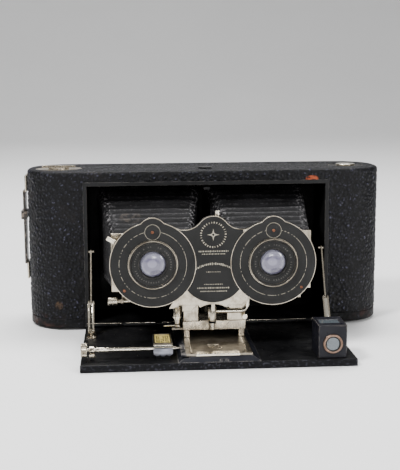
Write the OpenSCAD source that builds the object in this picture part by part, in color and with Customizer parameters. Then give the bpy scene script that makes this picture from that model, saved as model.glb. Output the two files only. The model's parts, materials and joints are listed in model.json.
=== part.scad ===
// Horizontal folding stereo camera for roll film, opened for use.
// Origin: mouth of the tripod socket, under the middle of the body. +X right, +Y to the back, +Z up.

/* [Body] */
// Width of the body over its rounded ends
body_w = 258; // [254:1:262]
// Depth of the body, front to back
body_d = 66; // [65:1:68]
// Height of the body
body_h = 112.5; // [112:0.5:115]
// Plan radius of the rounded ends
end_r = 28.5; // [26:0.5:30]
// Thickness of the leather covering
skin = 1.2; // [1:0.1:1.4]
// Wall of the film chambers
wall = 3; // [2.6:0.2:3.2]
// Width of the front opening
room_w = 170; // [169.5:0.5:170.5]
// Height of the opening's lower edge
sill_z = 3; // [2.8:0.1:3]
// Height of the opening's upper edge
lintel_z = 102; // [101.5:0.5:103]
// Distance of each spool from the middle
spool_x = 106; // [105:0.5:107]
// Thread radius of the tripod socket
tripod_r = 3.175; // [3:0.05:3.3]

/* [Bed] */
// Reach of the bed in front of the body
bed_len = 97.5; // [96:0.5:99]
// Width of the bed
bed_w = 175.6; // [174:0.2:176]
// Underside of the bed, below the body's underside
bed_low = -4; // [-4.4:0.1:-3.6]
// Top of the bed
bed_top = 0.6; // [0.4:0.1:0.7]
// Half width of the sliding track
track_hw = 21; // [20:0.5:21.5]
// Top of the sliding track
track_top = 5.5; // [5.4:0.1:5.5]

/* [Optics] */
// Spacing of the two lenses
lens_gap = 78.4; // [78:0.1:79]
// Middle of the lens pair
lens_cx = -1.6; // [-2:0.1:0]
// Height of the lens axes
lens_z = 58.2; // [57.5:0.1:59]
// Radius of the shutter's two large discs
disc_r = 28; // [27.5:0.1:28.2]
// Radius of the hump on the middle of the shutter
hump_r = 10.8; // [10.4:0.1:11.2]
// Radius of the arc under the middle of the shutter
belly_r = 22; // [21.8:0.1:22.4]
// Front of the shutter's black covers
face_y = -101.5; // [-101.8:0.1:-101.2]

/* [Hidden] */
$fn = 64;

far = 200;
fit = 0.05;
gap = 0.3;
half_d = body_d / 2;
half_room = room_w / 2;
case_top = body_h - skin;
split_y = 22;
chamber_z0 = wall;
chamber_z1 = 107;
gate_y = 10;
spool_y = -2;
spool_z0 = 4;
spool_z1 = 104;
roller_x = 92.4;
roller_y = 12;
roller_r = 2.2;
pivot_r = 0.9;
shaft_r = 3;
pin_r = 2;
rim_h = 0.8;
key_plate_r = 17;
knob_plate_r = 13;
button_y = -15.8;
button_r = 5;
catch_y = -30.5;
rod_r = 1.5;
bush_r = 5.6;
flange_r = 8;
bush_h = 9;
window_z = 50;
window_r = 6;
window_x = 32;
frame_w = 2.8;
foot_band_h = 6.2;
foot_band_z = 0.6;

bed_y0 = -half_d - bed_len;
bed_y1 = -half_d - 0.4;
bed_core = 0.8;
hinge_y = -35.4;
hinge_z = 2.5;
hinge_r = 1.8;
rod_y = -119.2;
rod_z = 7.6;
rod_thick = 1.2;
track_y0 = -127;
track_y1 = -47;
base_y1 = -42;
base_hw = 26.3;
rack_x = -24.2;
pinion_r = 1.8;

foot_y0 = -88;
foot_y1 = -66;
foot_z0 = 10.8;
foot_z1 = 17;
board_y0 = -89.6;
board_y1 = -88;
board_hw = 59.4;
board_z1 = 76.5;
plate_t = 0.8;
cover_y1 = face_y + plate_t;
plate_y1 = cover_y1 + 1.2;
housing_y1 = board_y0 - 0.1;
hump_z = 78.7;
belly_z = 54.2;
fillet_r = 13;
fillet_bite = 0.06;
arc_z = 61;
bump_z = 79.5;
bump_r = 9.4;
cell_r = 12;
eye = [lens_cx - lens_gap / 2, lens_cx + lens_gap / 2];

strut_x = 83.1;
strut_top = [-30, 55];
strut_knee = [-47, 21];
strut_foot = [-57, 4.2];
strap_hw = 7;
strap_z = [43, 97];
strap_t = 1.6;
bellows_back = [gate_y - 0.1, 28, 99];
bellows_front = [-85.9, 38, 77];
lever_y = [-94.6, -93.8];
pointer_y = [-98.6, -97.9];
finder_x = [62.9, 81.2];
finder_y = [-127.4, -104];
finder_top = 22;
finder_eye = [72.1, 10];
finder_window_x = [65.3, 78];
finder_window_y = [-120.5, -111.8];

// Box between two corners
module block(x, y, z) {
    translate([x[0], y[0], z[0]])
        cube([x[1] - x[0], y[1] - y[0], z[1] - z[0]]);
}

// Rods along the three axes
module rod_along_x(x, y, z, r) {
    translate([x[0], y, z])
        rotate([0, 90, 0])
            cylinder(h = x[1] - x[0], r = r);
}

module rod_along_y(x, y, z, r) {
    translate([x, y[0], z])
        rotate([-90, 0, 0])
            cylinder(h = y[1] - y[0], r = r);
}

module rod_along_z(x, y, z, r) {
    translate([x, y, z[0]])
        cylinder(h = z[1] - z[0], r = r);
}

// Stands a drawing in X and Z up and gives it thickness along Y
module upright(y) {
    translate([0, y[1], 0])
        rotate([90, 0, 0])
            linear_extrude(y[1] - y[0])
                children();
}

// Plan of the body, drawn in by an inset
module plan(inset) {
    w = body_w / 2 - inset;
    d = half_d - inset;
    r = end_r - inset;
    square([2 * (w - r), 2 * d], center = true);
    square([2 * w, 2 * (d - r)], center = true);
    for (sx = [-1, 1], sy = [-1, 1])
        translate([sx * (w - r), sy * (d - r)])
            circle(r);
}

// Part of the plan between two depths
module plan_slice(inset, y) {
    intersection() {
        plan(inset);
        translate([-far, y[0]])
            square([2 * far, y[1] - y[0]]);
    }
}

// Front room that the folded standard lies in
module front_room(grow) {
    block([-half_room - grow, half_room + grow], [-far, gate_y], [sill_z - grow, lintel_z + grow]);
}

module film_chamber(side) {
    x = side > 0 ? [half_room + wall, far] : [-far, -half_room - wall];
    intersection() {
        translate([0, 0, chamber_z0])
            linear_extrude(chamber_z1 - chamber_z0)
                plan(skin + wall);
        block(x, [-far, far], [0, body_h]);
    }
}

module case() {
    color([0.09, 0.09, 0.1])
        difference() {
            linear_extrude(case_top)
                plan_slice(skin, [-far, split_y]);
            front_room(0);
            film_chamber(-1);
            film_chamber(1);
            block([-roller_x - wall, roller_x + wall], [gate_y, far], [chamber_z0, chamber_z1]);
            for (s = [-1, 1]) {
                rod_along_z(s * roller_x, roller_y, [1, chamber_z1 + 2], pivot_r + fit);
                rod_along_z(s * spool_x, spool_y, [1, wall + 1], pin_r + fit);
            }
            rod_along_z(-spool_x, spool_y, [spool_z1, body_h], shaft_r + fit);
            rod_along_z(spool_x, spool_y, [spool_z1, body_h], pin_r + fit);
            rod_along_z(0, button_y, [lintel_z - 1, body_h], rod_r + fit);
            rod_along_z(0, 0, [-1, wall + 1], bush_r + fit);
            rod_along_z(0, 0, [-1, 1], flange_r + fit);
        }
}

module leather_wrap() {
    color([0.11, 0.11, 0.14])
        difference() {
            union() {
                translate([0, 0, foot_band_z])
                    linear_extrude(foot_band_h)
                        plan_slice(0.2, [-far, split_y]);
                translate([0, 0, foot_band_z + foot_band_h])
                    linear_extrude(body_h - foot_band_z - foot_band_h)
                        plan_slice(0, [-far, split_y]);
            }
            translate([0, 0, -1])
                linear_extrude(case_top + 1)
                    plan(skin);
            block([-half_room - frame_w - 0.1, half_room + frame_w + 0.1], [-far, -half_d + skin + 1],
                [-1, lintel_z + frame_w + 0.1]);
            rod_along_z(-spool_x, spool_y, [0, far], key_plate_r + fit);
            rod_along_z(spool_x, spool_y, [0, far], knob_plate_r + fit);
            rod_along_z(0, button_y, [0, far], button_r + gap);
        }
}

module opening_frame() {
    color([0.2, 0.2, 0.21])
        difference() {
            block([-half_room - frame_w, half_room + frame_w], [-half_d - 0.1, -half_d + skin],
                [0.2, lintel_z + frame_w]);
            block([-half_room, half_room], [-far, far], [-1, lintel_z]);
        }
}

module floor_rails() {
    rail_w = 3;
    rail_x = 17;
    color([0.35, 0.34, 0.33])
        for (s = [-1, 1])
            block([s * rail_x - rail_w / 2, s * rail_x + rail_w / 2], [-32, gate_y], [sill_z, track_top - 0.1]);
}

module rear_frame() {
    gate_hw = 36.5;
    gate_z = [10, 98];
    color([0.07, 0.07, 0.07])
        difference() {
            block([-half_room - 2, half_room + 2], [gate_y, gate_y + 4], [chamber_z0, chamber_z1]);
            for (x = eye)
                block([x - gate_hw, x + gate_hw], [0, far], gate_z);
        }
}

module tripod_bush() {
    color([0.6, 0.57, 0.5])
        difference() {
            union() {
                rod_along_z(0, 0, [0, 1], flange_r);
                rod_along_z(0, 0, [0, bush_h], bush_r);
            }
            rod_along_z(0, 0, [-1, bush_h - 1], tripod_r);
        }
}

module spool_pivots() {
    color([0.6, 0.57, 0.5])
        for (s = [-1, 1])
            rod_along_z(s * spool_x, spool_y, [1, spool_z0 + 5], pin_r);
}

module top_plates() {
    color([0.62, 0.58, 0.5])
        difference() {
            union() {
                rod_along_z(-spool_x, spool_y, [case_top, case_top + rim_h], key_plate_r);
                rod_along_z(spool_x, spool_y, [case_top, case_top + rim_h], knob_plate_r);
            }
            rod_along_z(-spool_x, spool_y, [0, far], shaft_r + gap);
            rod_along_z(spool_x, spool_y, [0, far], pin_r + gap);
        }
}

module strap_brackets() {
    bracket_h = 12;
    bracket_hw = 8;
    x0 = -body_w / 2 - strap_t;
    color([0.6, 0.57, 0.5])
        for (z = [strap_z[1] - 1, strap_z[0] + 1 - bracket_h])
            block([x0, -body_w / 2], [-bracket_hw, bracket_hw], [z, z + bracket_h]);
}

module strap() {
    keeper = [76, 82];
    x0 = -body_w / 2 - strap_t;
    color([0.1, 0.09, 0.09]) {
        block([x0 - strap_t, x0], [-strap_hw, strap_hw], strap_z);
        difference() {
            block([x0 - 2 * strap_t, x0 + 1], [-strap_hw - 1, strap_hw + 1], keeper);
            block([x0 - strap_t, x0], [-strap_hw, strap_hw], [0, far]);
        }
    }
}

module bed_hinge() {
    knuckles = 7;
    knuckle_w = 20;
    pitch = 25;
    color([0.6, 0.57, 0.5]) {
        for (i = [0:knuckles - 1]) {
            x = (i - (knuckles - 1) / 2) * pitch;
            rod_along_x([x - knuckle_w / 2, x + knuckle_w / 2], hinge_y, hinge_z, hinge_r);
            block([x - knuckle_w / 2, x + knuckle_w / 2], [hinge_y, -half_d + skin], [hinge_z - 1, hinge_z]);
        }
        rod_along_x([-bed_w / 2, bed_w / 2], hinge_y, hinge_z, 1);
    }
}

module bed_plate() {
    color([0.08, 0.08, 0.08])
        block([-bed_w / 2, bed_w / 2], [bed_y0 + bed_core, bed_y1], [bed_low + bed_core, bed_top]);
}

module bed_leather() {
    color([0.1, 0.1, 0.12]) {
        block([-bed_w / 2, bed_w / 2], [bed_y0, bed_y1], [bed_low, bed_low + bed_core]);
        block([-bed_w / 2, bed_w / 2], [bed_y0, bed_y0 + bed_core], [bed_low + bed_core, bed_top]);
    }
}

module track_base() {
    z0 = bed_top;
    z1 = 4;
    y0 = bed_y0 + bed_core + 0.2;
    slot = [3, 5.5];
    color([0.06, 0.06, 0.06])
        difference() {
            intersection() {
                upright([y0, base_y1])
                    polygon([[-base_hw, z0], [base_hw, z0], [track_hw, z1], [-track_hw, z1]]);
                translate([-far / 2, 0, 0])
                    rotate([90, 0, 90])
                        linear_extrude(far)
                            polygon([[y0, z0], [base_y1, z0], [base_y1, z1], [track_y0, z1]]);
            }
            block([rack_x - 1, -track_hw + 2], [-far, -90], [3.1, far]);
            block([slot[0] - 3, slot[1]], [y0 - 1, y0 + 1.2], [z0 + 0.5, z0 + 1.4]);
        }
}

module focus_bearings() {
    outer = [-82.6, -78.4];
    holder = [-41.6, -29.4];
    depth = 2.8;
    color([0.62, 0.6, 0.55])
        difference() {
            union() {
                block(outer, [rod_y - depth, rod_y + depth], [bed_top, rod_z + 2.2]);
                block(holder, [rod_y - depth, rod_y + depth], [bed_top, rod_z + 0.6]);
                block(holder, [rod_y + depth, -87], [rod_z - 1, rod_z + 0.6]);
                block([holder[0] + 2, holder[1] - 2], [-92, -87.6], [bed_top, rod_z - 1]);
            }
            rod_along_x([-far, 0], rod_y, rod_z, rod_thick + fit);
            block([holder[0] - 1, holder[1] + 1], [rod_y - rod_thick - fit, rod_y + rod_thick + fit],
                [rod_z, far]);
        }
}

module focus_scale() {
    color([0.85, 0.78, 0.3])
        block([-41.4, -29.2], [rod_y + 3, -87.2], [rod_z + 0.6, rod_z + 1.2]);
}

// Flat link between two points of the Y and Z plane
module link(x, a, b, hw) {
    d = b - a;
    translate([x[0], a[0], a[1]])
        rotate([atan2(d[1], d[0]), 0, 0])
            rotate([90, 0, 90])
                linear_extrude(x[1] - x[0]) {
                    translate([0, -hw])
                        square([norm(d), 2 * hw]);
                    circle(hw);
                    translate([norm(d), 0])
                        circle(hw);
                }
}

module bed_struts() {
    t = 0.5;
    out = 1.6;
    color([0.6, 0.57, 0.5])
        for (s = [-1, 1])
            difference() {
                union() {
                    link([s * strut_x - t, s * strut_x + t], strut_top, strut_knee, 1.7);
                    for (o = [-out, out])
                        link([s * strut_x + o - t, s * strut_x + o + t], strut_knee, strut_foot, 2.4);
                }
                for (p = [strut_top, strut_knee, strut_foot])
                    rod_along_x([-far, far], p[0], p[1], 1);
            }
}

module strut_fittings() {
    pin = 0.95;
    reach = 2.3;
    ear_t = 0.5;
    color([0.6, 0.57, 0.5])
        for (s = [-1, 1]) {
            x = s > 0 ? [strut_x - reach, half_room] : [-half_room, -strut_x + reach];
            rod_along_x(x, strut_top[0], strut_top[1], pin);
            rod_along_x([s * strut_x - reach, s * strut_x + reach], strut_knee[0], strut_knee[1], pin);
            rod_along_x([s * strut_x - reach, s * strut_x + reach], strut_foot[0], strut_foot[1], pin);
            block([s * strut_x - ear_t, s * strut_x + ear_t], [strut_foot[0] - 3, strut_foot[0] + 3],
                [bed_top, strut_foot[1] + 2]);
            block([s * strut_x - 3.4, s * strut_x + 3.4], [strut_foot[0] - 9, strut_foot[0] + 5],
                [bed_top, bed_top + 0.6]);
            rod_along_z(s * (strut_x - 2.2), strut_foot[0] - 6.6, [bed_top + 0.6, bed_top + 1.5], 1.5);
        }
}

module finder_box() {
    t = 1.2;
    xi = [finder_x[0] + t, finder_x[1] - t];
    yi = [finder_y[0] + t, finder_y[1] - t];
    color([0.07, 0.07, 0.07])
        difference() {
            block(finder_x, finder_y, [bed_top, finder_top]);
            block(xi, yi, [bed_top + t, finder_top - 2]);
            block(finder_window_x, finder_window_y, [bed_top + t, finder_top + 1]);
            rod_along_y(finder_eye[0], [finder_y[0] - 1, finder_y[0] + t + 1], finder_eye[1], 5);
        }
}

module finder_ring() {
    color([0.6, 0.5, 0.3])
        difference() {
            rod_along_y(finder_eye[0], [finder_y[0] - 1.2, finder_y[0]], finder_eye[1], 6.4);
            rod_along_y(finder_eye[0], [-far, 0], finder_eye[1], 4.6);
        }
}

module finder_glass() {
    color([0.75, 0.78, 0.8, 0.4]) {
        rod_along_y(finder_eye[0], [finder_y[0] - 0.4, finder_y[0] + 1], finder_eye[1], 4.5);
        block(finder_window_x, finder_window_y, [finder_top - 1.4, finder_top - 0.3]);
    }
}

module finder_mirror() {
    color([0.8, 0.8, 0.82])
        translate([finder_x[0] + 1.5, finder_y[0] + 4, bed_top + 2])
            rotate([38, 0, 0])
                cube([finder_x[1] - finder_x[0] - 3, 20, 0.9]);
}

// Open frame outline across the bellows, drawn in by an inset
module bellows_slice(cx, y, hw, z, inset) {
    block([cx - hw + inset, cx + hw - inset], [y, y + 0.1], [z[0] + inset, z[1] - inset]);
}

module bellows(cx) {
    back_hw = 38.2;
    front_hw = 27;
    fold = 5;
    color([0.05, 0.05, 0.06])
        difference() {
            hull() {
                bellows_slice(cx, bellows_back[0], back_hw, [bellows_back[1], bellows_back[2]], 0);
                bellows_slice(cx, bellows_front[0], front_hw, [bellows_front[1], bellows_front[2]], 0);
            }
            hull() {
                bellows_slice(cx, bellows_back[0] + 1, back_hw, [bellows_back[1], bellows_back[2]], fold);
                bellows_slice(cx, bellows_front[0] - 1, front_hw, [bellows_front[1], bellows_front[2]], fold);
            }
        }
}

module bellows_left() {
    bellows(eye[0]);
}

module bellows_right() {
    bellows(eye[1]);
}

module focus_rod() {
    color([0.7, 0.68, 0.62]) {
        rod_along_x([-83.4, rack_x], rod_y, rod_z, rod_thick);
        rod_along_x([rack_x - 0.2, -track_hw - 0.4], rod_y, rod_z, pinion_r);
    }
}

module focus_knob() {
    color([0.65, 0.62, 0.56])
        rod_along_x([-87.4, -83.4], rod_y, rod_z, 4.4);
}

module track_plate() {
    stop_hw = 14;
    color([0.42, 0.38, 0.32]) {
        block([-track_hw, track_hw], [track_y0, track_y1], [4.1, track_top]);
        block([rack_x, -track_hw], [track_y0, -100], [4.1, track_top]);
        block([-stop_hw - 1, stop_hw - 1], [track_y0 - 0.8, track_y0], [4.1, track_top + 0.1]);
    }
}

module standard_foot() {
    lug_w = 4;
    color([0.6, 0.58, 0.54]) {
        block([-track_hw, track_hw], [foot_y0, foot_y1], [foot_z0, foot_z1]);
        for (x = [-track_hw + 0.6, track_hw - lug_w - 0.6])
            block([x, x + lug_w], [foot_y0 + 1, foot_y1], [track_top + 0.1, foot_z0]);
        block([-28.2, -track_hw], [foot_y0 + 1, -79], [foot_z0, foot_z0 + 1.6]);
    }
}

module standard_uprights() {
    z1 = 36;
    y = [board_y1 + 0.1, board_y1 + 1.7];
    color([0.62, 0.6, 0.56])
        for (x = [[-20.6, -10.6], [8.6, 20.5]])
            block(x, y, [foot_z1, z1]);
}

module rise_screw() {
    x = -24.4;
    y = -83.5;
    color([0.72, 0.7, 0.66]) {
        rod_along_z(x, y, [18.6, 27], 3.2);
        rod_along_z(x, y, [14.6, 18.6], 2);
    }
}

module clamp_lever() {
    x = -24.4;
    y = -83.5;
    color([0.6, 0.58, 0.54])
        translate([x, y, 0]) {
            rod_along_z(0, 0, [12.6, 14.2], 2.3);
            block([-9.4, 0], [-1, 1], [12.8, 13.8]);
        }
}

module lock_knob() {
    color([0.65, 0.62, 0.58])
        rod_along_y(20, [-92.4, -88.1], 20.2, 2);
}

// Openings of the lens board and the shutter's walls, one behind each lens
module lens_bores(r) {
    for (x = eye)
        translate([x, lens_z])
            circle(r);
}

// Arched gap below the belly, behind the centre tube
module valve_arch() {
    translate([-1.8, 14.2])
        circle(16.8);
}

module lens_board() {
    frame_t = 1.9;
    color([0.65, 0.62, 0.56]) {
        upright([board_y0, board_y1])
            difference() {
                union() {
                    translate([lens_cx - board_hw, 32])
                        square([2 * board_hw, board_z1 - 32]);
                    translate([-21.5, 24])
                        square([43, 9]);
                }
                valve_arch();
                lens_bores(cell_r + fit);
            }
        for (x = eye)
            difference() {
                block([x - 27, x + 27], [board_y1, board_y1 + frame_t], [38, 77]);
                rod_along_y(x, [-far, 0], lens_z, cell_r + fit);
            }
    }
}

// Centre of the hollow curve that runs from the hump to a large disc, from the outline's middle
function fillet_centre(side) =
    let (gap_x = lens_gap / 2, rise = hump_z - lens_z)
    let (apart = norm([gap_x, rise]), a = disc_r + fillet_r, b = hump_r + fillet_r)
    let (along = (apart * apart + a * a - b * b) / (2 * apart))
    let (up = sqrt(a * a - along * along))
    let (dx = gap_x / apart, dz = rise / apart)
    [side * (gap_x - along * dx + up * dz), lens_z + along * dz + up * dx];

// Outline of the shutter: two large discs, two dial bumps, the hump and the belly between them.
// The hollow curves cut a hair into the discs, so that they cross them and do not only touch.
module shutter_outline(inset) {
    for (x = eye) {
        translate([x, lens_z])
            circle(disc_r - inset);
        translate([x, bump_z])
            circle(bump_r - inset);
    }
    translate([lens_cx, hump_z])
        circle(hump_r - inset);
    translate([lens_cx, belly_z])
        circle(belly_r - inset);
    c = [fillet_centre(-1), fillet_centre(1)];
    translate([lens_cx, 0])
        difference() {
            polygon([[0, belly_z], [lens_gap / 2, lens_z], c[1], [0, hump_z], c[0], [-lens_gap / 2, lens_z]]);
            for (p = c)
                translate(p)
                    circle(fillet_r + fillet_bite + inset);
        }
}

// Wedge of the outline's plane, from the middle of a disc
module wedge(angle, spread) {
    polygon([[0, 0], [far * cos(angle - spread), far * sin(angle - spread)],
        [far * cos(angle + spread), far * sin(angle + spread)]]);
}

module shutter_housing() {
    color([0.12, 0.12, 0.13])
        difference() {
            upright([plate_y1, housing_y1])
                shutter_outline(1.2);
            upright([plate_y1 - 1, housing_y1 - 1.5])
                shutter_outline(3);
            upright([-far, 0])
                lens_bores(cell_r + fit);
            upright([pointer_y[0] - 0.1, pointer_y[1] + 0.1])
                translate([lens_cx, arc_z])
                    wedge(-90, 36);
            upright([lever_y[0] - 0.1, lever_y[1] + 0.1])
                translate([lens_cx, arc_z])
                    wedge(90, 24);
            upright([lever_y[0] - 0.1, lever_y[1] + 0.1])
                translate([eye[0], lens_z])
                    wedge(150, 18);
        }
}

module face_plate() {
    scale_top = 42;
    scale_low = 27.6;
    color([0.7, 0.66, 0.58]) {
        upright([cover_y1, plate_y1])
            difference() {
                shutter_outline(0);
                lens_bores(14);
            }
        upright([plate_y1, plate_y1 + 0.7])
            difference() {
                polygon([[lens_cx - 21, scale_top], [lens_cx - 29, scale_low + 1], [lens_cx - 26, scale_low + 1],
                    [lens_cx - 22, scale_low + 3], [lens_cx - 10, scale_low + 3], [lens_cx - 8, scale_low],
                    [lens_cx + 8, scale_low], [lens_cx + 10, scale_low + 3], [lens_cx + 22, scale_low + 3],
                    [lens_cx + 24, scale_top - 4], [lens_cx + 21, scale_top]]);
                shutter_outline(1.1);
                valve_arch();
            }
    }
}

module face_covers() {
    color([0.1, 0.1, 0.1])
        upright([face_y, cover_y1])
            difference() {
                shutter_outline(0.8);
                lens_bores(14);
            }
}

module lens_cells() {
    front = [-103.2, -97.2];
    rear = [-95, -84];
    color([0.1, 0.1, 0.11])
        for (x = eye) {
            difference() {
                union() {
                    rod_along_y(x, [front[0], face_y], lens_z, 15.8);
                    rod_along_y(x, [front[0], front[1]], lens_z, 13.9);
                }
                rod_along_y(x, [front[0] - 1, -100.4], lens_z, 12.6);
                rod_along_y(x, [-far, 0], lens_z, 8.6);
            }
            difference() {
                rod_along_y(x, rear, lens_z, cell_r);
                rod_along_y(x, [-far, 0], lens_z, 8.6);
            }
        }
}

module lens_glasses() {
    color([0.7, 0.7, 0.85, 0.4])
        for (x = eye)
            for (y = [-99.6, -86.5])
                translate([0, y, 0])
                    rod_along_y(x, [-1.1, 1.1], lens_z, 8.55);
}

module speed_dial(x) {
    color([0.6, 0.57, 0.5])
        rod_along_y(x, [face_y - 0.9, face_y - 0.1], bump_z, 4.6);
}

module speed_dial_left() {
    speed_dial(eye[0]);
}

module speed_dial_right() {
    speed_dial(eye[1]);
}

module iris(x) {
    color([0.15, 0.15, 0.16])
        difference() {
            rod_along_y(x, [-95.9, -95.4], lens_z, 13);
            rod_along_y(x, [-far, 0], lens_z, 4.5);
        }
}

module iris_left() {
    iris(eye[0]);
}

module iris_right() {
    iris(eye[1]);
}

module shutter_blade(x) {
    color([0.13, 0.13, 0.14]) {
        rod_along_y(x, [-96.7, -96.4], lens_z, 9.4);
        rod_along_y(x, [-96.7, -96.4], lens_z - 16, 3);
        block([x - 3, x + 3], [-96.7, -96.4], [lens_z - 16, lens_z - 8]);
    }
}

module shutter_blade_left() {
    shutter_blade(eye[0]);
}

module shutter_blade_right() {
    shutter_blade(eye[1]);
}

module aperture_pointer() {
    color([0.6, 0.57, 0.5])
        upright(pointer_y)
            translate([lens_cx, arc_z]) {
                circle(4);
                translate([-1.2, -35])
                    square([2.4, 35]);
            }
}

module release_lever() {
    color([0.65, 0.62, 0.56])
        upright(lever_y)
            translate([eye[0], lens_z])
                rotate(150) {
                    translate([17, -1.4])
                        square([17, 2.8]);
                    translate([17, 0])
                        circle(2.5);
                }
}

module setting_lever() {
    color([0.65, 0.62, 0.56])
        upright(lever_y)
            translate([lens_cx, arc_z])
                rotate(-6) {
                    circle(3.2);
                    translate([-1.3, 0])
                        square([2.6, 31]);
                }
}

module air_fittings() {
    tube_y = -92.6;
    pipe_y = -90.9;
    pipe_z = 24.1;
    pipe_r = 1.3;
    color([0.68, 0.65, 0.6]) {
        rod_along_z(-1.8, tube_y, [17.4, 28], 2.9);
        rod_along_z(-1.8, tube_y, [12, 17.4], 2.2);
        block([-2.6, -1], [tube_y, board_y0], [27.2, 32.6]);
        rod_along_x([-0.2, 21.8], pipe_y, pipe_z, pipe_r);
        rod_along_z(21.8, pipe_y, [pipe_z, 36], pipe_r);
        translate([21.8, pipe_y, pipe_z])
            sphere(pipe_r);
        rod_along_x([-70.3, -63.8], -93, 32.8, 2.65);
        rod_along_x([-63.8, -55], -93, 32.8, 1.1);
        block([-59, -55], [-93.6, board_y0], [32.1, 33.5]);
    }
}

module winding_key() {
    z = case_top + rim_h + 0.1;
    color([0.68, 0.64, 0.55]) {
        rod_along_z(-spool_x, spool_y, [spool_z1 + 0.5, z], shaft_r);
        rod_along_z(-spool_x, spool_y, [z, z + 0.7], 7.5);
        translate([-spool_x, spool_y, 0]) {
            block([-12, 12], [-1.6, 1.6], [z + 0.7, z + 2.3]);
            block([-2.8, 2.8], [-0.6, 0.6], [spool_z1 - 4, spool_z1 + 0.5]);
        }
    }
}

// Spool with end flanges, bored at the lower end for its pivot
module spool(x) {
    rod_along_z(x, spool_y, [spool_z0, spool_z1], 4.6);
    for (z = [spool_z0, spool_z1 - 1.2])
        rod_along_z(x, spool_y, [z, z + 1.2], 12.7);
}

module takeup_spool() {
    color([0.35, 0.22, 0.14])
        difference() {
            spool(-spool_x);
            rod_along_z(-spool_x, spool_y, [0, spool_z0 + 6], pin_r + fit);
            block([-spool_x - 3.3, -spool_x + 3.3], [spool_y - 1, spool_y + 1], [spool_z1 - 5, far]);
        }
}

module supply_spool() {
    color([0.35, 0.22, 0.14])
        difference() {
            spool(spool_x);
            rod_along_z(spool_x, spool_y, [0, spool_z0 + 6], pin_r + fit);
            rod_along_z(spool_x, spool_y, [spool_z1 - 6, far], pin_r + fit);
        }
}

module roller(x) {
    color([0.5, 0.5, 0.52]) {
        rod_along_z(x, roller_y, [chamber_z0 + 0.3, chamber_z1 - 0.3], roller_r);
        rod_along_z(x, roller_y, [1.2, chamber_z1 + 1.8], pivot_r);
    }
}

module roller_left() {
    roller(-roller_x);
}

module roller_right() {
    roller(roller_x);
}

module spool_knob() {
    z = case_top + rim_h + 0.1;
    color([0.68, 0.66, 0.6]) {
        rod_along_z(spool_x, spool_y, [spool_z1 - 5, z], pin_r);
        rod_along_z(spool_x, spool_y, [z, z + 1.2], 7);
    }
}

module bed_button() {
    tongue_z = lintel_z - 1.8;
    color([0.3, 0.28, 0.26]) {
        rod_along_z(0, button_y, [case_top + 1.7, body_h + 1.1], button_r);
        rod_along_z(0, button_y, [tongue_z - 0.2, case_top + 1.7], rod_r);
        block([-2, 2], [catch_y, button_y + 1.4], [tongue_z - 0.6, tongue_z + 0.2]);
        block([-2, 2], [catch_y - 1.5, catch_y], [tongue_z - 1.6, tongue_z + 0.2]);
    }
}

module back_cover() {
    t = 2.5;
    y0 = split_y + 0.1;
    color([0.09, 0.09, 0.1])
        difference() {
            linear_extrude(case_top)
                plan_slice(skin, [y0, far]);
            translate([0, 0, t])
                linear_extrude(case_top - 2 * t)
                    plan_slice(skin + t, [0, far]);
            for (s = [-1, 1])
                rod_along_y(s * window_x, [0, far], window_z, window_r + 0.3);
        }
}

module back_leather() {
    y0 = split_y + 0.1;
    color([0.11, 0.11, 0.14])
        difference() {
            translate([0, 0, foot_band_z])
                linear_extrude(body_h - foot_band_z)
                    plan_slice(0, [y0, far]);
            translate([0, 0, -1])
                linear_extrude(case_top + 1)
                    plan(skin);
            for (s = [-1, 1])
                rod_along_y(s * window_x, [0, far], window_z, window_r + 2);
        }
}

module pressure_plate() {
    y = [14.6, 16];
    spring_y = 28.2;
    color([0.08, 0.08, 0.09]) {
        block([-84, 84], y, [8, 100]);
        for (x = [-60, 0, 60])
            block([x - 4, x + 4], [y[1], spring_y + 1.1], [50, 54]);
    }
}

module red_window() {
    color([0.5, 0.04, 0.03, 0.6])
        for (s = [-1, 1]) {
            rod_along_y(s * window_x, [29.4, half_d - 0.6], window_z, window_r);
            difference() {
                rod_along_y(s * window_x, [half_d - skin, half_d - 0.1], window_z, window_r + 1.8);
                rod_along_y(s * window_x, [0, far], window_z, window_r + 0.1);
            }
        }
}

module back_latches() {
    color([0.62, 0.58, 0.5])
        for (s = [-1, 1]) {
            block([s * 88 - 5, s * 88 + 5], [half_d, half_d + 0.7], [44, 68]);
            block([s * 88 - 2, s * 88 + 2], [half_d + 0.7, half_d + 2], [48, 64]);
        }
}

case();
leather_wrap();
opening_frame();
floor_rails();
rear_frame();
tripod_bush();
spool_pivots();
top_plates();
strap_brackets();
strap();
bed_hinge();
bed_plate();
bed_leather();
track_base();
focus_bearings();
focus_scale();
bed_struts();
strut_fittings();
finder_box();
finder_ring();
finder_glass();
finder_mirror();
bellows_left();
bellows_right();
focus_rod();
focus_knob();
track_plate();
standard_foot();
standard_uprights();
rise_screw();
clamp_lever();
lock_knob();
lens_board();
shutter_housing();
face_plate();
face_covers();
lens_cells();
lens_glasses();
speed_dial_left();
speed_dial_right();
iris_left();
iris_right();
shutter_blade_left();
shutter_blade_right();
aperture_pointer();
release_lever();
setting_lever();
air_fittings();
winding_key();
takeup_spool();
supply_spool();
roller_left();
roller_right();
spool_knob();
bed_button();
back_cover();
back_leather();
pressure_plate();
red_window();
back_latches();
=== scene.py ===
"""Looks of the folding stereo camera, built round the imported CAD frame.

The mesh code works in millimetres, and the shaders, the camera and the lights in metres.
"""
import json
import math
import random

import bmesh
import bpy
from mathutils import Matrix, Vector, geometry, noise


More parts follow.
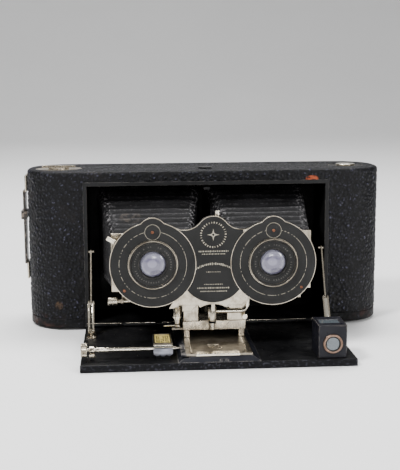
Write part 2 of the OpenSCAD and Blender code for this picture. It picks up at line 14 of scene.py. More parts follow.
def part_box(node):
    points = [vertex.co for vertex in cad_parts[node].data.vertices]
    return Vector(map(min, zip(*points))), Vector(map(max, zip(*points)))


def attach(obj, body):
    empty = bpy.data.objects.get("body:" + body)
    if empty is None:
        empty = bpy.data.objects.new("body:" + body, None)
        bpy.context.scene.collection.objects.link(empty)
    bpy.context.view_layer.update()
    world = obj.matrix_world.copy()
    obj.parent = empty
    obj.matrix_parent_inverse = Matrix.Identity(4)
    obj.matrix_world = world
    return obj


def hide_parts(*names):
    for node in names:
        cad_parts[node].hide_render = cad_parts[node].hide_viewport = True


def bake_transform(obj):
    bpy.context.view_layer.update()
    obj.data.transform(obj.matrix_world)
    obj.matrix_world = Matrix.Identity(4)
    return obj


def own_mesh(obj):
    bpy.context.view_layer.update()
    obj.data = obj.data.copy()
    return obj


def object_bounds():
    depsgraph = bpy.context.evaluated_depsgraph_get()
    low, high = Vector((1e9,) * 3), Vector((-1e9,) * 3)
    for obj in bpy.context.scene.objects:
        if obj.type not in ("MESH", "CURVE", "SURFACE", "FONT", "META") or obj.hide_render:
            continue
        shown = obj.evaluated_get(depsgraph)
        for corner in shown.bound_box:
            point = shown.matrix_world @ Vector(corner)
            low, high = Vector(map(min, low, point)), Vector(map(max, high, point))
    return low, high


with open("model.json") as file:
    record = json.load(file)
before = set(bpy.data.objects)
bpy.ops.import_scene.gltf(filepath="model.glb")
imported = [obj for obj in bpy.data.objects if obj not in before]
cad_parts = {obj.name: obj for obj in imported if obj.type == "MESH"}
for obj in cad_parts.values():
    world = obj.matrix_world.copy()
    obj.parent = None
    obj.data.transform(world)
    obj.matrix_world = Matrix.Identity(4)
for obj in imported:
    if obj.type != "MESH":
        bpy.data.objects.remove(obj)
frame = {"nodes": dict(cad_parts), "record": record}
CAD_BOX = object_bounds()
MM = 0.001
random.seed(7)

BODY = {n: b for b, nodes in frame["record"]["behaviour"]["bodies"].items() for n in nodes}


def mm_box(node):
    """A CAD node's low and high corners in millimetres."""
    low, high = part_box(node)
    return low / MM, high / MM


# ---------------------------------------------------------------- camera, floor and light

# From a fit to the photo: metres, radians (yaw, pitch, roll) and millimetres.
CAMERA_PLACE = Vector((-0.0564, -0.7259, 0.1785))
CAMERA_TURN = (-0.0738, 0.1603, -0.0058)
CAMERA_LENS = 75.45
# Name, place, target and size in metres, and power in watts.
LIGHTS = (("key", (-0.75, -0.7, 1.15), (0, -0.05, 0.05), (0.3, 0.3), 26),
    ("fill", (0.9, -1.0, 0.5), (0, -0.05, 0.05), (0.35, 0.35), 9),
    ("top", (0.05, 0.35, 1.2), (0, 0.0, 0.08), (1.0, 0.35), 22),
    ("front", (0.1, -1.6, 0.35), (0, -0.05, 0.06), (0.3, 0.2), 3))
# Floor in millimetres: near end, where the backdrop starts to rise, its radius, its top, half width.
FLOOR_NEAR, FLOOR_FAR, FLOOR_RADIUS, FLOOR_TOP, FLOOR_HALF = -4000, 1500, 900, 4000, 6000
FLOOR_CLEAR = 0.2


def put(name, data):
    """A new object with the given data, linked into the scene."""
    obj = bpy.data.objects.new(name, data)
    bpy.context.scene.collection.objects.link(obj)
    return obj


def make_camera():
    """Stands the camera where the photo's camera was fitted to have stood."""
    yaw, pitch, roll = CAMERA_TURN
    ahead = Vector((-math.sin(yaw), math.cos(yaw), 0))
    right = Vector((math.cos(yaw), math.sin(yaw), 0))
    up = Vector((0, 0, 1))
    look = ahead * math.cos(pitch) - up * math.sin(pitch)
    head = up * math.cos(pitch) + ahead * math.sin(pitch)
    side = right * math.cos(roll) + head * math.sin(roll)
    top = head * math.cos(roll) - right * math.sin(roll)
    data = bpy.data.cameras.new("camera")
    data.lens = CAMERA_LENS
    data.clip_start, data.clip_end = 0.01, 50
    cam = put("camera", data)
    cam.matrix_world = Matrix.Translation(CAMERA_PLACE) @ Matrix((side, top, -look)).transposed().to_4x4()
    bpy.context.scene.camera = cam


def area_light(name, place, target, size, power):
    data = bpy.data.lights.new(name, "AREA")
    data.shape = "RECTANGLE"
    data.size, data.size_y = size
    data.energy = power
    lamp = put(name, data)
    lamp.location = place
    aim = Vector(target) - Vector(place)
    lamp.rotation_euler = aim.to_track_quat("-Z", "Y").to_euler()


def make_stage():
    """A pale floor that leans to touch the bed's front and the body's back, and rises behind."""
    front, back = CAD_BOX[0], CAD_BOX[1]
    slope = -front.z / (back.y - front.y)
    profile = [(FLOOR_NEAR, 0), (FLOOR_FAR, 0)]
    profile += [(FLOOR_FAR + FLOOR_RADIUS * math.sin(t), FLOOR_RADIUS * (1 - math.cos(t)))
        for t in [0.1 * k for k in range(1, 16)]]
    profile += [(FLOOR_FAR + FLOOR_RADIUS, FLOOR_TOP)]
    verts, faces = [], []
    for y, z in profile:
        for x in (-FLOOR_HALF, FLOOR_HALF):
            verts.append((x, y, z + slope * (y - back.y / MM) - FLOOR_CLEAR))
    for i in range(len(profile) - 1):
        faces.append((2 * i, 2 * i + 1, 2 * i + 3, 2 * i + 2))
    floor = build("floor", verts, faces)
    floor.data.shade_smooth()
    floor.data.materials.append(pale_floor())
    world = bpy.data.worlds.new("studio")
    world.use_nodes = True
    tree = world.node_tree
    coord = tree.nodes.new("ShaderNodeTexCoord")
    split = tree.nodes.new("ShaderNodeSeparateXYZ")
    ramp = tree.nodes.new("ShaderNodeValToRGB")
    tree.links.new(coord.outputs["Generated"], split.inputs[0])
    tree.links.new(split.outputs["Z"], ramp.inputs["Fac"])
    ends = ramp.color_ramp.elements
    ends[0].position, ends[0].color = 0.05, (0.03, 0.03, 0.035, 1)
    ends[1].position, ends[1].color = 0.85, (1, 1, 1, 1)
    back_light = tree.nodes["Background"]
    tree.links.new(ramp.outputs["Color"], back_light.inputs["Color"])
    back_light.inputs["Strength"].default_value = 0.5
    bpy.context.scene.world = world
    for light in LIGHTS:
        area_light(*light)


# ---------------------------------------------------------------- materials

class Nodes:
    """A short way to write a material's nodes and links."""

    def __init__(self, name):
        self.mat = bpy.data.materials.new(name)
        self.mat.use_nodes = True
        self.tree = self.mat.node_tree
        self.shader = self.tree.nodes["Principled BSDF"]
        self.place = self.add("TexCoord").outputs["Object"]

    def add(self, kind, **values):
        node = self.tree.nodes.new("ShaderNode" + kind)
        for key, value in values.items():
            setattr(node, key, value)
        return node

    def link(self, source, target):
        self.tree.links.new(source, target)

    def set(self, **values):
        for key, value in values.items():
            self.shader.inputs[key.replace("_", " ")].default_value = value

    def noise(self, scale, detail=4, rough=0.55, source=None):
        node = self.add("TexNoise")
        node.inputs["Scale"].default_value = scale
        node.inputs["Detail"].default_value = detail
        node.inputs["Roughness"].default_value = rough
        self.link(source or self.place, node.inputs["Vector"])
        return node.outputs["Fac"]

    def cells(self, scale, source):
        """Distance to the nearest edge between cells."""
        node = self.add("TexVoronoi", feature="DISTANCE_TO_EDGE")
        node.inputs["Scale"].default_value = scale
        self.link(source, node.inputs["Vector"])
        return node.outputs["Distance"]

    def ramp(self, source, stops):
        node = self.add("ValToRGB")
        ends = node.color_ramp.elements
        while len(ends) < len(stops):
            ends.new(0.5)
        for end, (at, colour) in zip(ends, stops):
            end.position = at
            end.color = (*colour, 1) if len(colour) == 3 else colour
        self.link(source, node.inputs["Fac"])
        return node.outputs["Color"]

    def grey(self, source, low, high, a=0.3, b=0.7):
        """Maps source from a to b on to low to high."""
        node = self.add("MapRange")
        for key, value in (("From Min", a), ("From Max", b), ("To Min", low), ("To Max", high)):
            node.inputs[key].default_value = value
        self.link(source, node.inputs["Value"])
        return node.outputs["Result"]

    def patchy(self, scale, detail, low, high, a=0.3, b=0.7):
        """Noise, mapped from a to b on to low to high."""
        return self.grey(self.noise(scale, detail), low, high, a, b)

    def math(self, what, a, b):
        node = self.add("Math", operation=what)
        for slot, value in zip(node.inputs, (a, b)):
            if isinstance(value, (int, float)):
                slot.default_value = value
            else:
                self.link(value, slot)
        return node.outputs[0]

    def times(self, a, b):
        return self.math("MULTIPLY", a, b)

    def mix(self, share, a, b):
        """Colour a where share is 0, b where it is 1."""
        node = self.add("Mix", data_type="RGBA")
        for slot, value in ((node.inputs[0], share), (node.inputs[6], a), (node.inputs[7], b)):
            if isinstance(value, (int, float)):
                slot.default_value = value
            elif isinstance(value, tuple):
                slot.default_value = (*value, 1)
            else:
                self.link(value, slot)
        return node.outputs[2]

    def bump(self, height, strength, distance, before=None):
        node = self.add("Bump")
        node.inputs["Strength"].default_value = strength
        node.inputs["Distance"].default_value = distance
        self.link(height, node.inputs["Height"])
        if before:
            self.link(before, node.inputs["Normal"])
        return node.outputs["Normal"]

    def stretch(self, scale):
        node = self.add("Mapping")
        node.inputs["Scale"].default_value = scale
        self.link(self.place, node.inputs["Vector"])
        return node.outputs["Vector"]

    def warped(self, amount, scale):
        """Object coordinates pushed about by noise, for cells of uneven shape."""
        wobble = self.add("TexNoise")
        wobble.inputs["Scale"].default_value = scale
        self.link(self.place, wobble.inputs["Vector"])
        node = self.add("Mix", data_type="RGBA", blend_type="LINEAR_LIGHT")
        node.inputs[0].default_value = amount
        self.link(self.place, node.inputs[6])
        self.link(wobble.outputs["Color"], node.inputs[7])
        return node.outputs[2]

    def spot(self, centre, radii):
        """1 inside an ellipsoid of the object, falling to 0 at its edge."""
        off = self.add("VectorMath", operation="SUBTRACT")
        off.inputs[1].default_value = centre
        self.link(self.place, off.inputs[0])
        per = self.add("VectorMath", operation="DIVIDE")
        per.inputs[1].default_value = radii
        self.link(off.outputs[0], per.inputs[0])
        size = self.add("VectorMath", operation="LENGTH")
        self.link(per.outputs[0], size.inputs[0])
        return self.grey(size.outputs["Value"], 1, 0, 0.75, 1.0)

    def edges(self, radius):
        """1 at outer edges of the piece, from the shader's bevel compared with the true normal."""
        bevel = self.add("Bevel", samples=4)
        bevel.inputs["Radius"].default_value = radius
        flat = self.add("NewGeometry")
        dot = self.add("VectorMath", operation="DOT_PRODUCT")
        self.link(bevel.outputs[0], dot.inputs[0])
        self.link(flat.outputs["Normal"], dot.inputs[1])
        return self.grey(dot.outputs["Value"], 1, 0, 0.9, 0.999)

    def to(self, **links):
        for key, source in links.items():
            self.link(source, self.shader.inputs[key.replace("_", " ")])
        return self.mat


def pale_floor():
    n = Nodes("pale_floor")
    tone = n.ramp(n.noise(3), [(0.3, (0.9, 0.9, 0.9)), (0.7, (0.93, 0.93, 0.93))])
    n.set(Roughness=0.85)
    return n.to(Base_Color=tone)


# Centres and radii of the torn patch and the scuff of the body's leather, and of the rubbed bellows.
TORN = ((0.0755, -0.033, 0.1052), (0.0052, 0.004, 0.003))
SCUFFED = ((-0.1065, -0.03, 0.0165), (0.0034, 0.006, 0.0034))
RUBBED = ((-0.055, -0.058, 0.086), (0.01, 0.012, 0.008))
BRUSHING = (1400, 1400, 60)


def leather(name, dark, light, shine=0.36, patches=True, brown=(0.014, 0.011, 0.01), gloss=0.42):
    """Pebbled leather: the grain is in the mesh, so its creases come as an attribute. The colour paints
    shade into the creases and light on the pebble tops, with painted highlight flecks on the tops.
    """
    n = Nodes(name)
    crease = n.add("Attribute", attribute_name="crease").outputs["Fac"]
    pore = n.cells(1500, source=n.warped(0.0012, 500))
    fine = n.noise(2600, 3)
    # painted shade and light: the creases are coloured dark and the pebble tops lighter
    colour = n.mix(n.grey(crease, 0, 1, 0.1, 0.8), light, dark)
    # painted highlight: bright flecks on the pebble tops
    highlight_fleck = n.times(n.patchy(560, 3, 0, 1, 0.55, 0.62), n.grey(crease, 1, 0, 0.05, 0.45))
    colour = n.mix(highlight_fleck, colour, tuple(c * 9 for c in light))
    colour = n.mix(n.patchy(52, 6, 0, 0.55, 0.6, 0.74), colour, brown)
    if patches:
        torn = n.spot(*TORN)
        ragged = n.times(torn, n.patchy(520, 5, 0.2, 1, 0.4, 0.5))
        colour = n.mix(ragged, colour, (0.3, 0.06, 0.022))
        scuff = n.spot(*SCUFFED)
        colour = n.mix(n.times(scuff, n.patchy(500, 4, 0.1, 0.8, 0.42, 0.56)), colour,
            (0.07, 0.04, 0.02))
        height = n.add("SeparateXYZ")
        n.link(n.place, height.inputs[0])
        foot = n.grey(height.outputs["Z"], 1, 0, 0.002, 0.011)
        ends = n.grey(n.math("ABSOLUTE", height.outputs["X"], 0.0), 0, 1, 0.098, 0.118)
        rub = n.times(n.times(foot, ends), n.patchy(150, 5, 0, 0.6, 0.5, 0.66))
        colour = n.mix(rub, colour, (0.06, 0.02, 0.014))
    rough = n.math("ADD", n.grey(crease, shine - 0.06, shine + 0.24, 0, 1), n.patchy(90, 4, 0, 0.14))
    normal = n.bump(n.grey(pore, 0, 1, 0.0, 0.35), 0.35, 0.0001)
    normal = n.bump(fine, 0.3, 0.0001, normal)
    n.set(Specular_IOR_Level=gloss)
    return n.to(Base_Color=colour, Roughness=rough, Normal=normal)


def enamel(name, colour, shine, wear, chip=(0.35, 0.31, 0.27), gloss=0.2):
    """Baked enamel: slight orange peel, dust and handling marks, bright metal where edges rub."""
    n = Nodes(name)
    cloud = n.noise(45, 6)
    tone = n.mix(n.grey(cloud, 0, 0.7, 0.35, 0.75), colour, tuple(min(1, c * 1.7 + 0.006) for c in colour))
    specks = n.patchy(900, 2, 0, 0.5, 0.66, 0.78)
    tone = n.mix(specks, tone, tuple(c * 2.6 + 0.02 for c in colour))
    rub = n.times(n.edges(0.00035), n.patchy(320, 5, 0, wear * 2, 0.42, 0.6))
    tone = n.mix(rub, tone, chip)
    rough = n.patchy(150, 5, shine - 0.1, shine + 0.2)
    normal = n.bump(n.noise(1500, 3), 0.12, 0.00008)
    n.set(Specular_IOR_Level=gloss)
    return n.to(Base_Color=tone, Roughness=rough, Normal=normal)


def metal(name, colour, tarnish, rough, worn=0.5):
    """Plated metal with fine brushing, tarnish clouds and dark pitting."""
    n = Nodes(name)
    streak = n.noise(1.0, 3, source=n.stretch(BRUSHING))
    cloud = n.noise(150, 6, 0.65)
    tone = n.mix(n.grey(cloud, 0, worn, 0.42, 0.68), colour, tarnish)
    pits = n.patchy(700, 3, 0, 0.4, 0.7, 0.78)
    tone = n.mix(pits, tone, tuple(c * 0.3 for c in tarnish))
    gloss = n.math("ADD", n.grey(streak, rough - 0.06, rough + 0.06), n.grey(cloud, 0, 0.2, 0.5, 0.75))
    n.set(Metallic=1.0)
    return n.to(Base_Color=tone, Roughness=gloss, Normal=n.bump(cloud, 0.04, 0.00006))


def glass(name, colour, cover):
    """Old coated glass: partly see-through, with a faint haze and dust."""
    n = Nodes(name)
    haze = n.noise(160, 5)
    tone = n.mix(n.grey(haze, 0, 0.5, 0.35, 0.7), colour, tuple(min(1, c * 1.35) for c in colour))
    n.set(IOR=1.5, Alpha=cover, Coat_Weight=1.0, Coat_Roughness=0.03)
    return n.to(Base_Color=tone, Roughness=n.patchy(700, 3, 0.04, 0.16))


def lens_glass(name, eyes):
    """Front glass: pale lavender near the rim, with a painted violet reflection in the middle, a painted
    highlight above the centre and painted shade low down.
    """
    n = Nodes(name)
    tone = n.mix(n.patchy(260, 4, 0, 0.5, 0.35, 0.7), (0.2, 0.195, 0.255), (0.3, 0.3, 0.365))
    for x, z in eyes:
        # painted reflection: darker violet in the middle of each lens
        heart = n.spot((x - 0.0005, -0.1, z - 0.0005), (0.0068, 0.02, 0.0056))
        tone = n.mix(n.times(heart, 0.7), tone, (0.09, 0.08, 0.14))
        # painted highlight: a lighter spot just above each lens's centre
        glint = n.spot((x - 0.0005, -0.1, z + 0.0005), (0.0034, 0.02, 0.003))
        tone = n.mix(n.times(glint, 0.5), tone, (0.3, 0.29, 0.38))
        # painted shade: a dark spot low on the right of each lens
        shade = n.spot((x + 0.0025, -0.1, z - 0.0058), (0.0052, 0.02, 0.0024))
        tone = n.mix(n.times(shade, 0.7), tone, (0.03, 0.022, 0.06))
    n.set(IOR=1.5, Alpha=0.94, Coat_Weight=1.0, Coat_Roughness=0.04)
    return n.to(Base_Color=tone, Roughness=n.patchy(700, 3, 0.12, 0.3))


def plain_paint(name, colour, rough=0.45):
    """Paint laid into engraved lines, a little uneven."""
    n = Nodes(name)
    tone = n.mix(n.patchy(1500, 4, 0, 0.7, 0.4, 0.7), colour, tuple(c * 0.55 for c in colour))
    return n.to(Base_Color=tone, Roughness=n.patchy(600, 3, rough - 0.1, rough + 0.15))


def wood(name):
    n = Nodes(name)
    rings = n.noise(1.0, 5, source=n.stretch((900, 900, 25)))
    tone = n.ramp(rings, [(0.3, (0.16, 0.075, 0.035)), (0.55, (0.3, 0.16, 0.08)),
        (0.75, (0.38, 0.22, 0.12))])
    return n.to(Base_Color=tone, Roughness=n.grey(rings, 0.4, 0.6), Normal=n.bump(rings, 0.2, 0.0001))


def bellows_leather(name):
    """Thin black bellows leather: rubbed pale along the folds and corners."""
    n = Nodes(name)
    wear = n.add("Attribute", attribute_name="wear").outputs["Fac"]
    broken = n.patchy(620, 5, 0, 1, 0.53, 0.6)
    cloud = n.noise(85, 6)
    tone = n.mix(n.grey(cloud, 0, 1, 0.35, 0.75), (0.002, 0.002, 0.0022), (0.0075, 0.0072, 0.0085))
    scratch = n.grey(n.noise(1.0, 4, source=n.stretch((160, 900, 900))), 0, 0.5, 0.58, 0.7)
    tone = n.mix(scratch, tone, (0.014, 0.0135, 0.015))
    tone = n.mix(n.times(wear, broken), tone, (0.1, 0.095, 0.098))
    patch = n.spot(*RUBBED)
    tone = n.mix(n.times(patch, n.patchy(300, 4, 0, 0.6, 0.45, 0.6)), tone, (0.05, 0.04, 0.032))
    normal = n.bump(n.noise(1800, 4), 0.35, 0.00012)
    n.set(Specular_IOR_Level=0.13)
    return n.to(Base_Color=tone, Roughness=n.grey(cloud, 0.42, 0.62), Normal=normal)


def make_materials():
    return {
        "leather": leather("leather", (0.0005, 0.0005, 0.0007), (0.0058, 0.0058, 0.0092), shine=0.3,
        gloss=0.2),
        "band": leather("band_leather", (0.0008, 0.0008, 0.001), (0.0045, 0.0045, 0.006), shine=0.38,
        gloss=0.2),
        "bed_leather": leather("bed_leather", (0.001, 0.001, 0.0012), (0.0035, 0.0035, 0.0045), shine=0.45,
            patches=False, brown=(0.006, 0.005, 0.005), gloss=0.1),
        "strap_leather": leather("strap_leather", (0.004, 0.003, 0.003), (0.02, 0.016, 0.013),
        patches=False),
        "body_metal": enamel("body_enamel", (0.006, 0.006, 0.0065), 0.5, 0.15),
        # The frame's pale edges are partly chipped enamel and partly a painted highlight along its edges.
        "frame_enamel": enamel("frame_enamel", (0.006, 0.006, 0.0065), 0.42, 0.9,
            chip=(0.12, 0.11, 0.1)),
        "bed_enamel": enamel("bed_enamel", (0.004, 0.004, 0.0045), 0.36, 0.4, chip=(0.16, 0.15, 0.15)),
        "ramp_enamel": enamel("ramp_enamel", (0.0075, 0.008, 0.0115), 0.36, 0.9, chip=(0.3, 0.28, 0.26)),
        "finder_enamel": enamel("finder_enamel", (0.0055, 0.0055, 0.0085), 0.36, 0.8,
        chip=(0.3, 0.26, 0.22)),
        "shutter_enamel": enamel("shutter_enamel", (0.008, 0.008, 0.0078), 0.42, 0.1),
        "inner_black": enamel("inner_black", (0.002, 0.002, 0.0022), 0.6, 0.05, gloss=0.08),
        "nickel": metal("nickel", (0.56, 0.505, 0.41), (0.22, 0.175, 0.12), 0.24, 0.7),
        "dull_nickel": metal("dull_nickel", (0.3, 0.265, 0.21), (0.12, 0.095, 0.07), 0.36, 0.9),
        "bright_nickel": metal("bright_nickel", (0.8, 0.74, 0.62), (0.45, 0.38, 0.28), 0.18, 0.4),
        "steel": metal("steel", (0.5, 0.5, 0.52), (0.3, 0.29, 0.28), 0.3),
        "brass": metal("brass", (0.27, 0.18, 0.135), (0.11, 0.06, 0.04), 0.36, 0.8),
        "saddle_metal": metal("saddle_metal", (0.3, 0.31, 0.36), (0.17, 0.16, 0.17), 0.34, 0.7),
        "copper": metal("copper", (0.2, 0.085, 0.05), (0.1, 0.045, 0.03), 0.4),
        "glass": lens_glass("lens_glass", [(x * MM, LENS_Z * MM) for x in EYES]),
        "clear_glass": glass("clear_glass", (0.1, 0.12, 0.135), cover=0.8),
        "mirror": metal("mirror", (0.85, 0.86, 0.88), (0.6, 0.58, 0.55), 0.1, 0.3),
        "ruby": glass("ruby", (0.3, 0.01, 0.01), cover=0.85),
        "scale_celluloid": plain_paint("celluloid", (0.78, 0.62, 0.2), 0.3),
        "ivory": plain_paint("ivory_lines", (0.36, 0.33, 0.26)),
        "dim_ivory": plain_paint("dim_ivory", (0.06, 0.055, 0.048)),
        "ink": plain_paint("ink", (0.012, 0.009, 0.006)),
        "bellows_leather": bellows_leather("bellows_leather"),
        "spool_wood": wood("spool_wood"),
    }


# ---------------------------------------------------------------- mesh helpers, in millimetres

BOX_FACES = [(0, 1, 3, 2), (4, 6, 7, 5), (0, 4, 5, 1), (2, 3, 7, 6), (0, 2, 6, 4), (1, 5, 7, 3)]
MERGE = 1e-6


def finish_piece(obj, node, look, replace=True, smooth=35):
    """Shades a piece, gives it its look, and ties it to the frame."""
    obj.data.shade_smooth()
    obj.data.set_sharp_from_angle(angle=math.radians(smooth))
    obj.data.materials.clear()
    obj.data.materials.append(LOOK[look])
    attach(obj, BODY[node])
    if replace:
        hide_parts(node)
    return obj


def extra(obj, node, look, smooth=35, replace=False):
    """Finishes a piece that stands beside the one that replaces its node."""
    return finish_piece(obj, node, look, replace=replace, smooth=smooth)


def clean(mesh, merge=True, flat=0.0):
    """Merges doubled points, dissolves edges flatter than flat degrees and turns the faces outward."""
    bm = bmesh.new()
    bm.from_mesh(mesh)
    if merge:
        bmesh.ops.remove_doubles(bm, verts=bm.verts, dist=MERGE)
    if flat:
        bmesh.ops.dissolve_limit(bm, angle_limit=math.radians(flat), verts=bm.verts, edges=bm.edges)
    bmesh.ops.recalc_face_normals(bm, faces=bm.faces)
    bm.to_mesh(mesh)
    bm.free()


def build(name, verts, faces):
    """A mesh object from points in millimetres."""
    mesh = bpy.data.meshes.new(name)
    mesh.from_pydata([Vector(v) * MM for v in verts], [], faces)
    mesh.validate()
    clean(mesh)
    return put(name, mesh)


def bevel(obj, width, segments=2, angle=40):
    mod = obj.modifiers.new("edges", "BEVEL")
    mod.width = width * MM
    mod.segments = segments
    mod.limit_method = "ANGLE"
    mod.angle_limit = math.radians(angle)
    return obj


def lathe(name, profile, centre, axis="Y", steps=96, closed=True, cuts=()):
    """Turns a profile of (radius, distance along the axis) about an axis through centre.

    A radius of None stands for the cuts, one after the other round the axis.
    """
    verts, faces = [], []
    for i in range(steps):
        a = 2 * math.pi * i / steps
        for r, h in profile:
            radius = cuts[i % len(cuts)] if r is None else r
            u, v = radius * math.cos(a), radius * math.sin(a)
            point = {"X": (h, u, v), "Y": (u, h, v), "Z": (u, v, h)}[axis]
            verts.append([c + p for c, p in zip(centre, point)])
    count = len(profile)
    last = count if closed else count - 1
    for i in range(steps):
        j = (i + 1) % steps
        for k in range(last):
            m = (k + 1) % count
            faces.append((i * count + k, i * count + m, j * count + m, j * count + k))
    return build(name, verts, faces)


def knurled(name, outer, inner, span, teeth, centre, groove, rims):
    """A knob about X with a straight-knurled edge between two smooth rims."""
    lo, hi = span
    profile = [(inner, lo), (outer - 0.3, lo), (outer, lo + 0.3), (outer, lo + rims),
        (None, lo + rims + 0.05),
        (None, hi - rims - 0.05), (outer, hi - rims), (outer, hi - 0.3), (outer - 0.3, hi), (inner, hi)]
    cuts = (outer, outer - groove * 0.6, outer - groove, outer - groove * 0.6)
    return lathe(name, profile, centre, "X", teeth * 4, cuts=cuts)


def arc(centre, r, a0, a1, steps):
    return [(centre[0] + r * math.cos(math.radians(a0 + (a1 - a0) * i / steps)),
        centre[1] + r * math.sin(math.radians(a0 + (a1 - a0) * i / steps))) for i in range(steps + 1)]


def plate(name, outer, holes, y, bevel_width=0.15):
    """A flat plate in X and Z between two depths, with holes; loops are lists of (x, z)."""
    loops = [outer] + holes
    flat = [[Vector((p[0], p[1], 0)) for p in loop] for loop in loops]
    points = [p for loop in loops for p in loop]
    tris = geometry.tessellate_polygon(flat)
    count = len(points)
    verts = [(p[0], y[0], p[1]) for p in points] + [(p[0], y[1], p[1]) for p in points]
    faces = [tuple(t) for t in tris] + [tuple(i + count for i in reversed(t)) for t in tris]
    start = 0
    for loop in loops:
        size = len(loop)
        for i in range(size):
            a, b = start + i, start + (i + 1) % size
            faces.append((a, b, b + count, a + count))
        start += size
    obj = build(name, verts, faces)
    return bevel(obj, bevel_width, 2, 50) if bevel_width else obj


def offset(loop, inset):
    """A closed loop of (x, z) drawn in by inset, by the mean normal at each point."""
    out = []
    size = len(loop)
    pairs = [(loop[i], loop[(i + 1) % size]) for i in range(size)]
    turn = sum(a[0] * b[1] - b[0] * a[1] for a, b in pairs)
    sign = 1 if turn > 0 else -1
    for i in range(size):
        a, b = Vector(loop[i - 1]), Vector(loop[(i + 1) % size])
        d = (b - a).normalized()
        out.append((loop[i][0] - d.y * sign * inset, loop[i][1] + d.x * sign * inset))
    return out


def ring_band(name, loop, width, y, bevel_width=0.12):
    return plate(name, loop, [offset(loop, width)], y, bevel_width)


def joined(name, parts):
    """One object from several, with modifiers applied."""
    bpy.context.view_layer.update()
    deps = bpy.context.evaluated_depsgraph_get()
    bm = bmesh.new()
    for part in parts:
        mesh = bpy.data.meshes.new_from_object(part.evaluated_get(deps))
        mesh.transform(part.matrix_world)
        bm.from_mesh(mesh)
        bpy.data.meshes.remove(mesh)
    for part in parts:
        bpy.data.objects.remove(part)
    mesh = bpy.data.meshes.new(name)
    bm.to_mesh(mesh)
    bm.free()
    return put(name, mesh)


def brick(name, low, high, edge=0.3, segments=2):
    """A bevelled block between two corners."""
    x, y, z = zip(low, high)
    verts = [(x[i], y[j], z[k]) for i in (0, 1) for j in (0, 1) for k in (0, 1)]
    return bevel(build(name, verts, BOX_FACES), edge, segments)


def refine(node, look, edge):
    """Stands a bevelled copy of a CAD node in its place."""
    obj = put(node + "_piece", frame["nodes"][node].data.copy())
    clean(obj.data, flat=0.6)
    bevel(obj, edge).modifiers["edges"].use_clamp_overlap = True
    return finish_piece(obj, node, look)


# ---------------------------------------------------------------- body covering

BODY_LOW, BODY_HIGH = mm_box("leather_wrap")
BACK_LOW = mm_box("back_leather")[0]
FRAME_LOW, FRAME_HIGH = mm_box("opening_frame")
# Radius of the body's rounded ends, top of the band round the foot, radius of the leather's upper edge.
END_R, BAND_TOP, EDGE_TURN = 28.5, 6.8, 2.2
# Spacing of the grained meshes' points on the walls and on the top.
GRAIN_STEP, SHEET_STEP = 0.62, 1.1
# Size of a pebble, and the holes round the red windows, as (x, z) and radius.
PEBBLE = 2.3
WINDOWS, WINDOW_R = ((-32, 50), (32, 50)), 7.6


def plan_path(y_limit, front, step):
    """Outline of the body's plan as (x, y, nx, ny), round the front or round the back of y_limit."""
    half_w, half_d = BODY_HIGH.x, -BODY_LOW.y
    straight = half_w - END_R
    corner = half_d - END_R
    count = int(2 * straight / step)
    even = {-straight + 2 * straight * i / count for i in range(count + 1)}
    points = [(x, -half_d, 0.0, -1.0) for x in sorted(even | {FRAME_LOW.x, FRAME_HIGH.x})]
    turns = int(END_R * math.pi / 2 / step)
    for i in range(1, turns + 1):
        a = -math.pi / 2 + math.pi / 2 * i / turns
        points.append((straight + END_R * math.cos(a), -corner + END_R * math.sin(a), math.cos(a),
            math.sin(a)))
    rise = int(2 * corner / step) + 1
    points += [(half_w, -corner + 2 * corner * i / rise, 1.0, 0.0) for i in range(1, rise + 1)]
    for i in range(1, turns + 1):
        a = math.pi / 2 * i / turns
        points.append((straight + END_R * math.cos(a), corner + END_R * math.sin(a), math.cos(a),
            math.sin(a)))
    right = [p for p in points if p[0] >= 0 and (p[1] <= y_limit if front else p[1] >= y_limit)]
    if front:
        end = at_depth(y_limit, half_w, corner)
        right = [p for p in right if p[1] < y_limit - 0.2] + [end]
        middle = [p for p in points if abs(p[0]) < straight and p[1] <= -half_d + 0.01]
        right = [p for p in right if p[1] > -half_d + 0.001 or p[0] >= straight - 0.001]
        left = [(-x, y, -nx, ny) for x, y, nx, ny in reversed(right)]
        return left + middle + right
    start = at_depth(y_limit, half_w, corner)
    right = [start] + [p for p in right if p[1] > y_limit + 0.2]
    top = [(straight - 2 * straight * i / count, half_d, 0.0, 1.0) for i in range(1, count)]
    left = [(-x, y, -nx, ny) for x, y, nx, ny in reversed(right)]
    return right + top + left


def at_depth(y, half_w, corner):
    """The point of the rounded end at a given depth."""
    dy = y - corner
    nx = math.sqrt(END_R * END_R - dy * dy) / END_R
    return (half_w - END_R + END_R * nx, y, nx, dy / END_R)


def pebble(point):
    """Depth of the leather's grain at a point: 0 on a pebble, 1 in a crease."""
    p = Vector(point) / PEBBLE
    p += noise.noise_vector(p * 0.7) * 0.55
    near = noise.voronoi(p)[0]
    return max(0.0, 1 - (near[1] - near[0]) * 1.9)


def skin_wall(name, path, rows, skip=None, grain=0.75):
    """A leather wall along a plan path, turned over at the top, with its grain in the mesh."""
    verts, faces, creases = [], [], []
    count = len(rows)
    for x, y, nx, ny in path:
        for z, inset in rows:
            base = (x - nx * inset, y - ny * inset, z)
            crease = pebble(base)
            depth = 0.02 + grain * crease + 0.08 * (1 + noise.noise(Vector(base) / 14))
            creases.append(crease)
            drop = depth if inset > 1.5 else 0
            verts.append((base[0] - nx * depth, base[1] - ny * depth, z - drop))
    for i in range(len(path) - 1):
        for k in range(count - 1):
            middle = ((path[i][0] + path[i + 1][0]) / 2, path[i][1], (rows[k][0] + rows[k + 1][0]) / 2)
            if not (skip and skip(middle)):
                a, b = i * count + k, (i + 1) * count + k
                faces.append((a, b, b + 1, a + 1))
    return skin(name, verts, faces, creases, lambda co: -plan_normal(co))


def plan_normal(co):
    """Outward direction of the body's plan at a point in metres."""
    straight = (BODY_HIGH.x - END_R) * MM
    deep = (-BODY_LOW.y - END_R) * MM
    off = Vector((co.x - max(-straight, min(straight, co.x)), co.y - max(-deep, min(deep, co.y)), 0))
    return off.normalized() if off.length > 1e-6 else Vector((0, -1, 0))


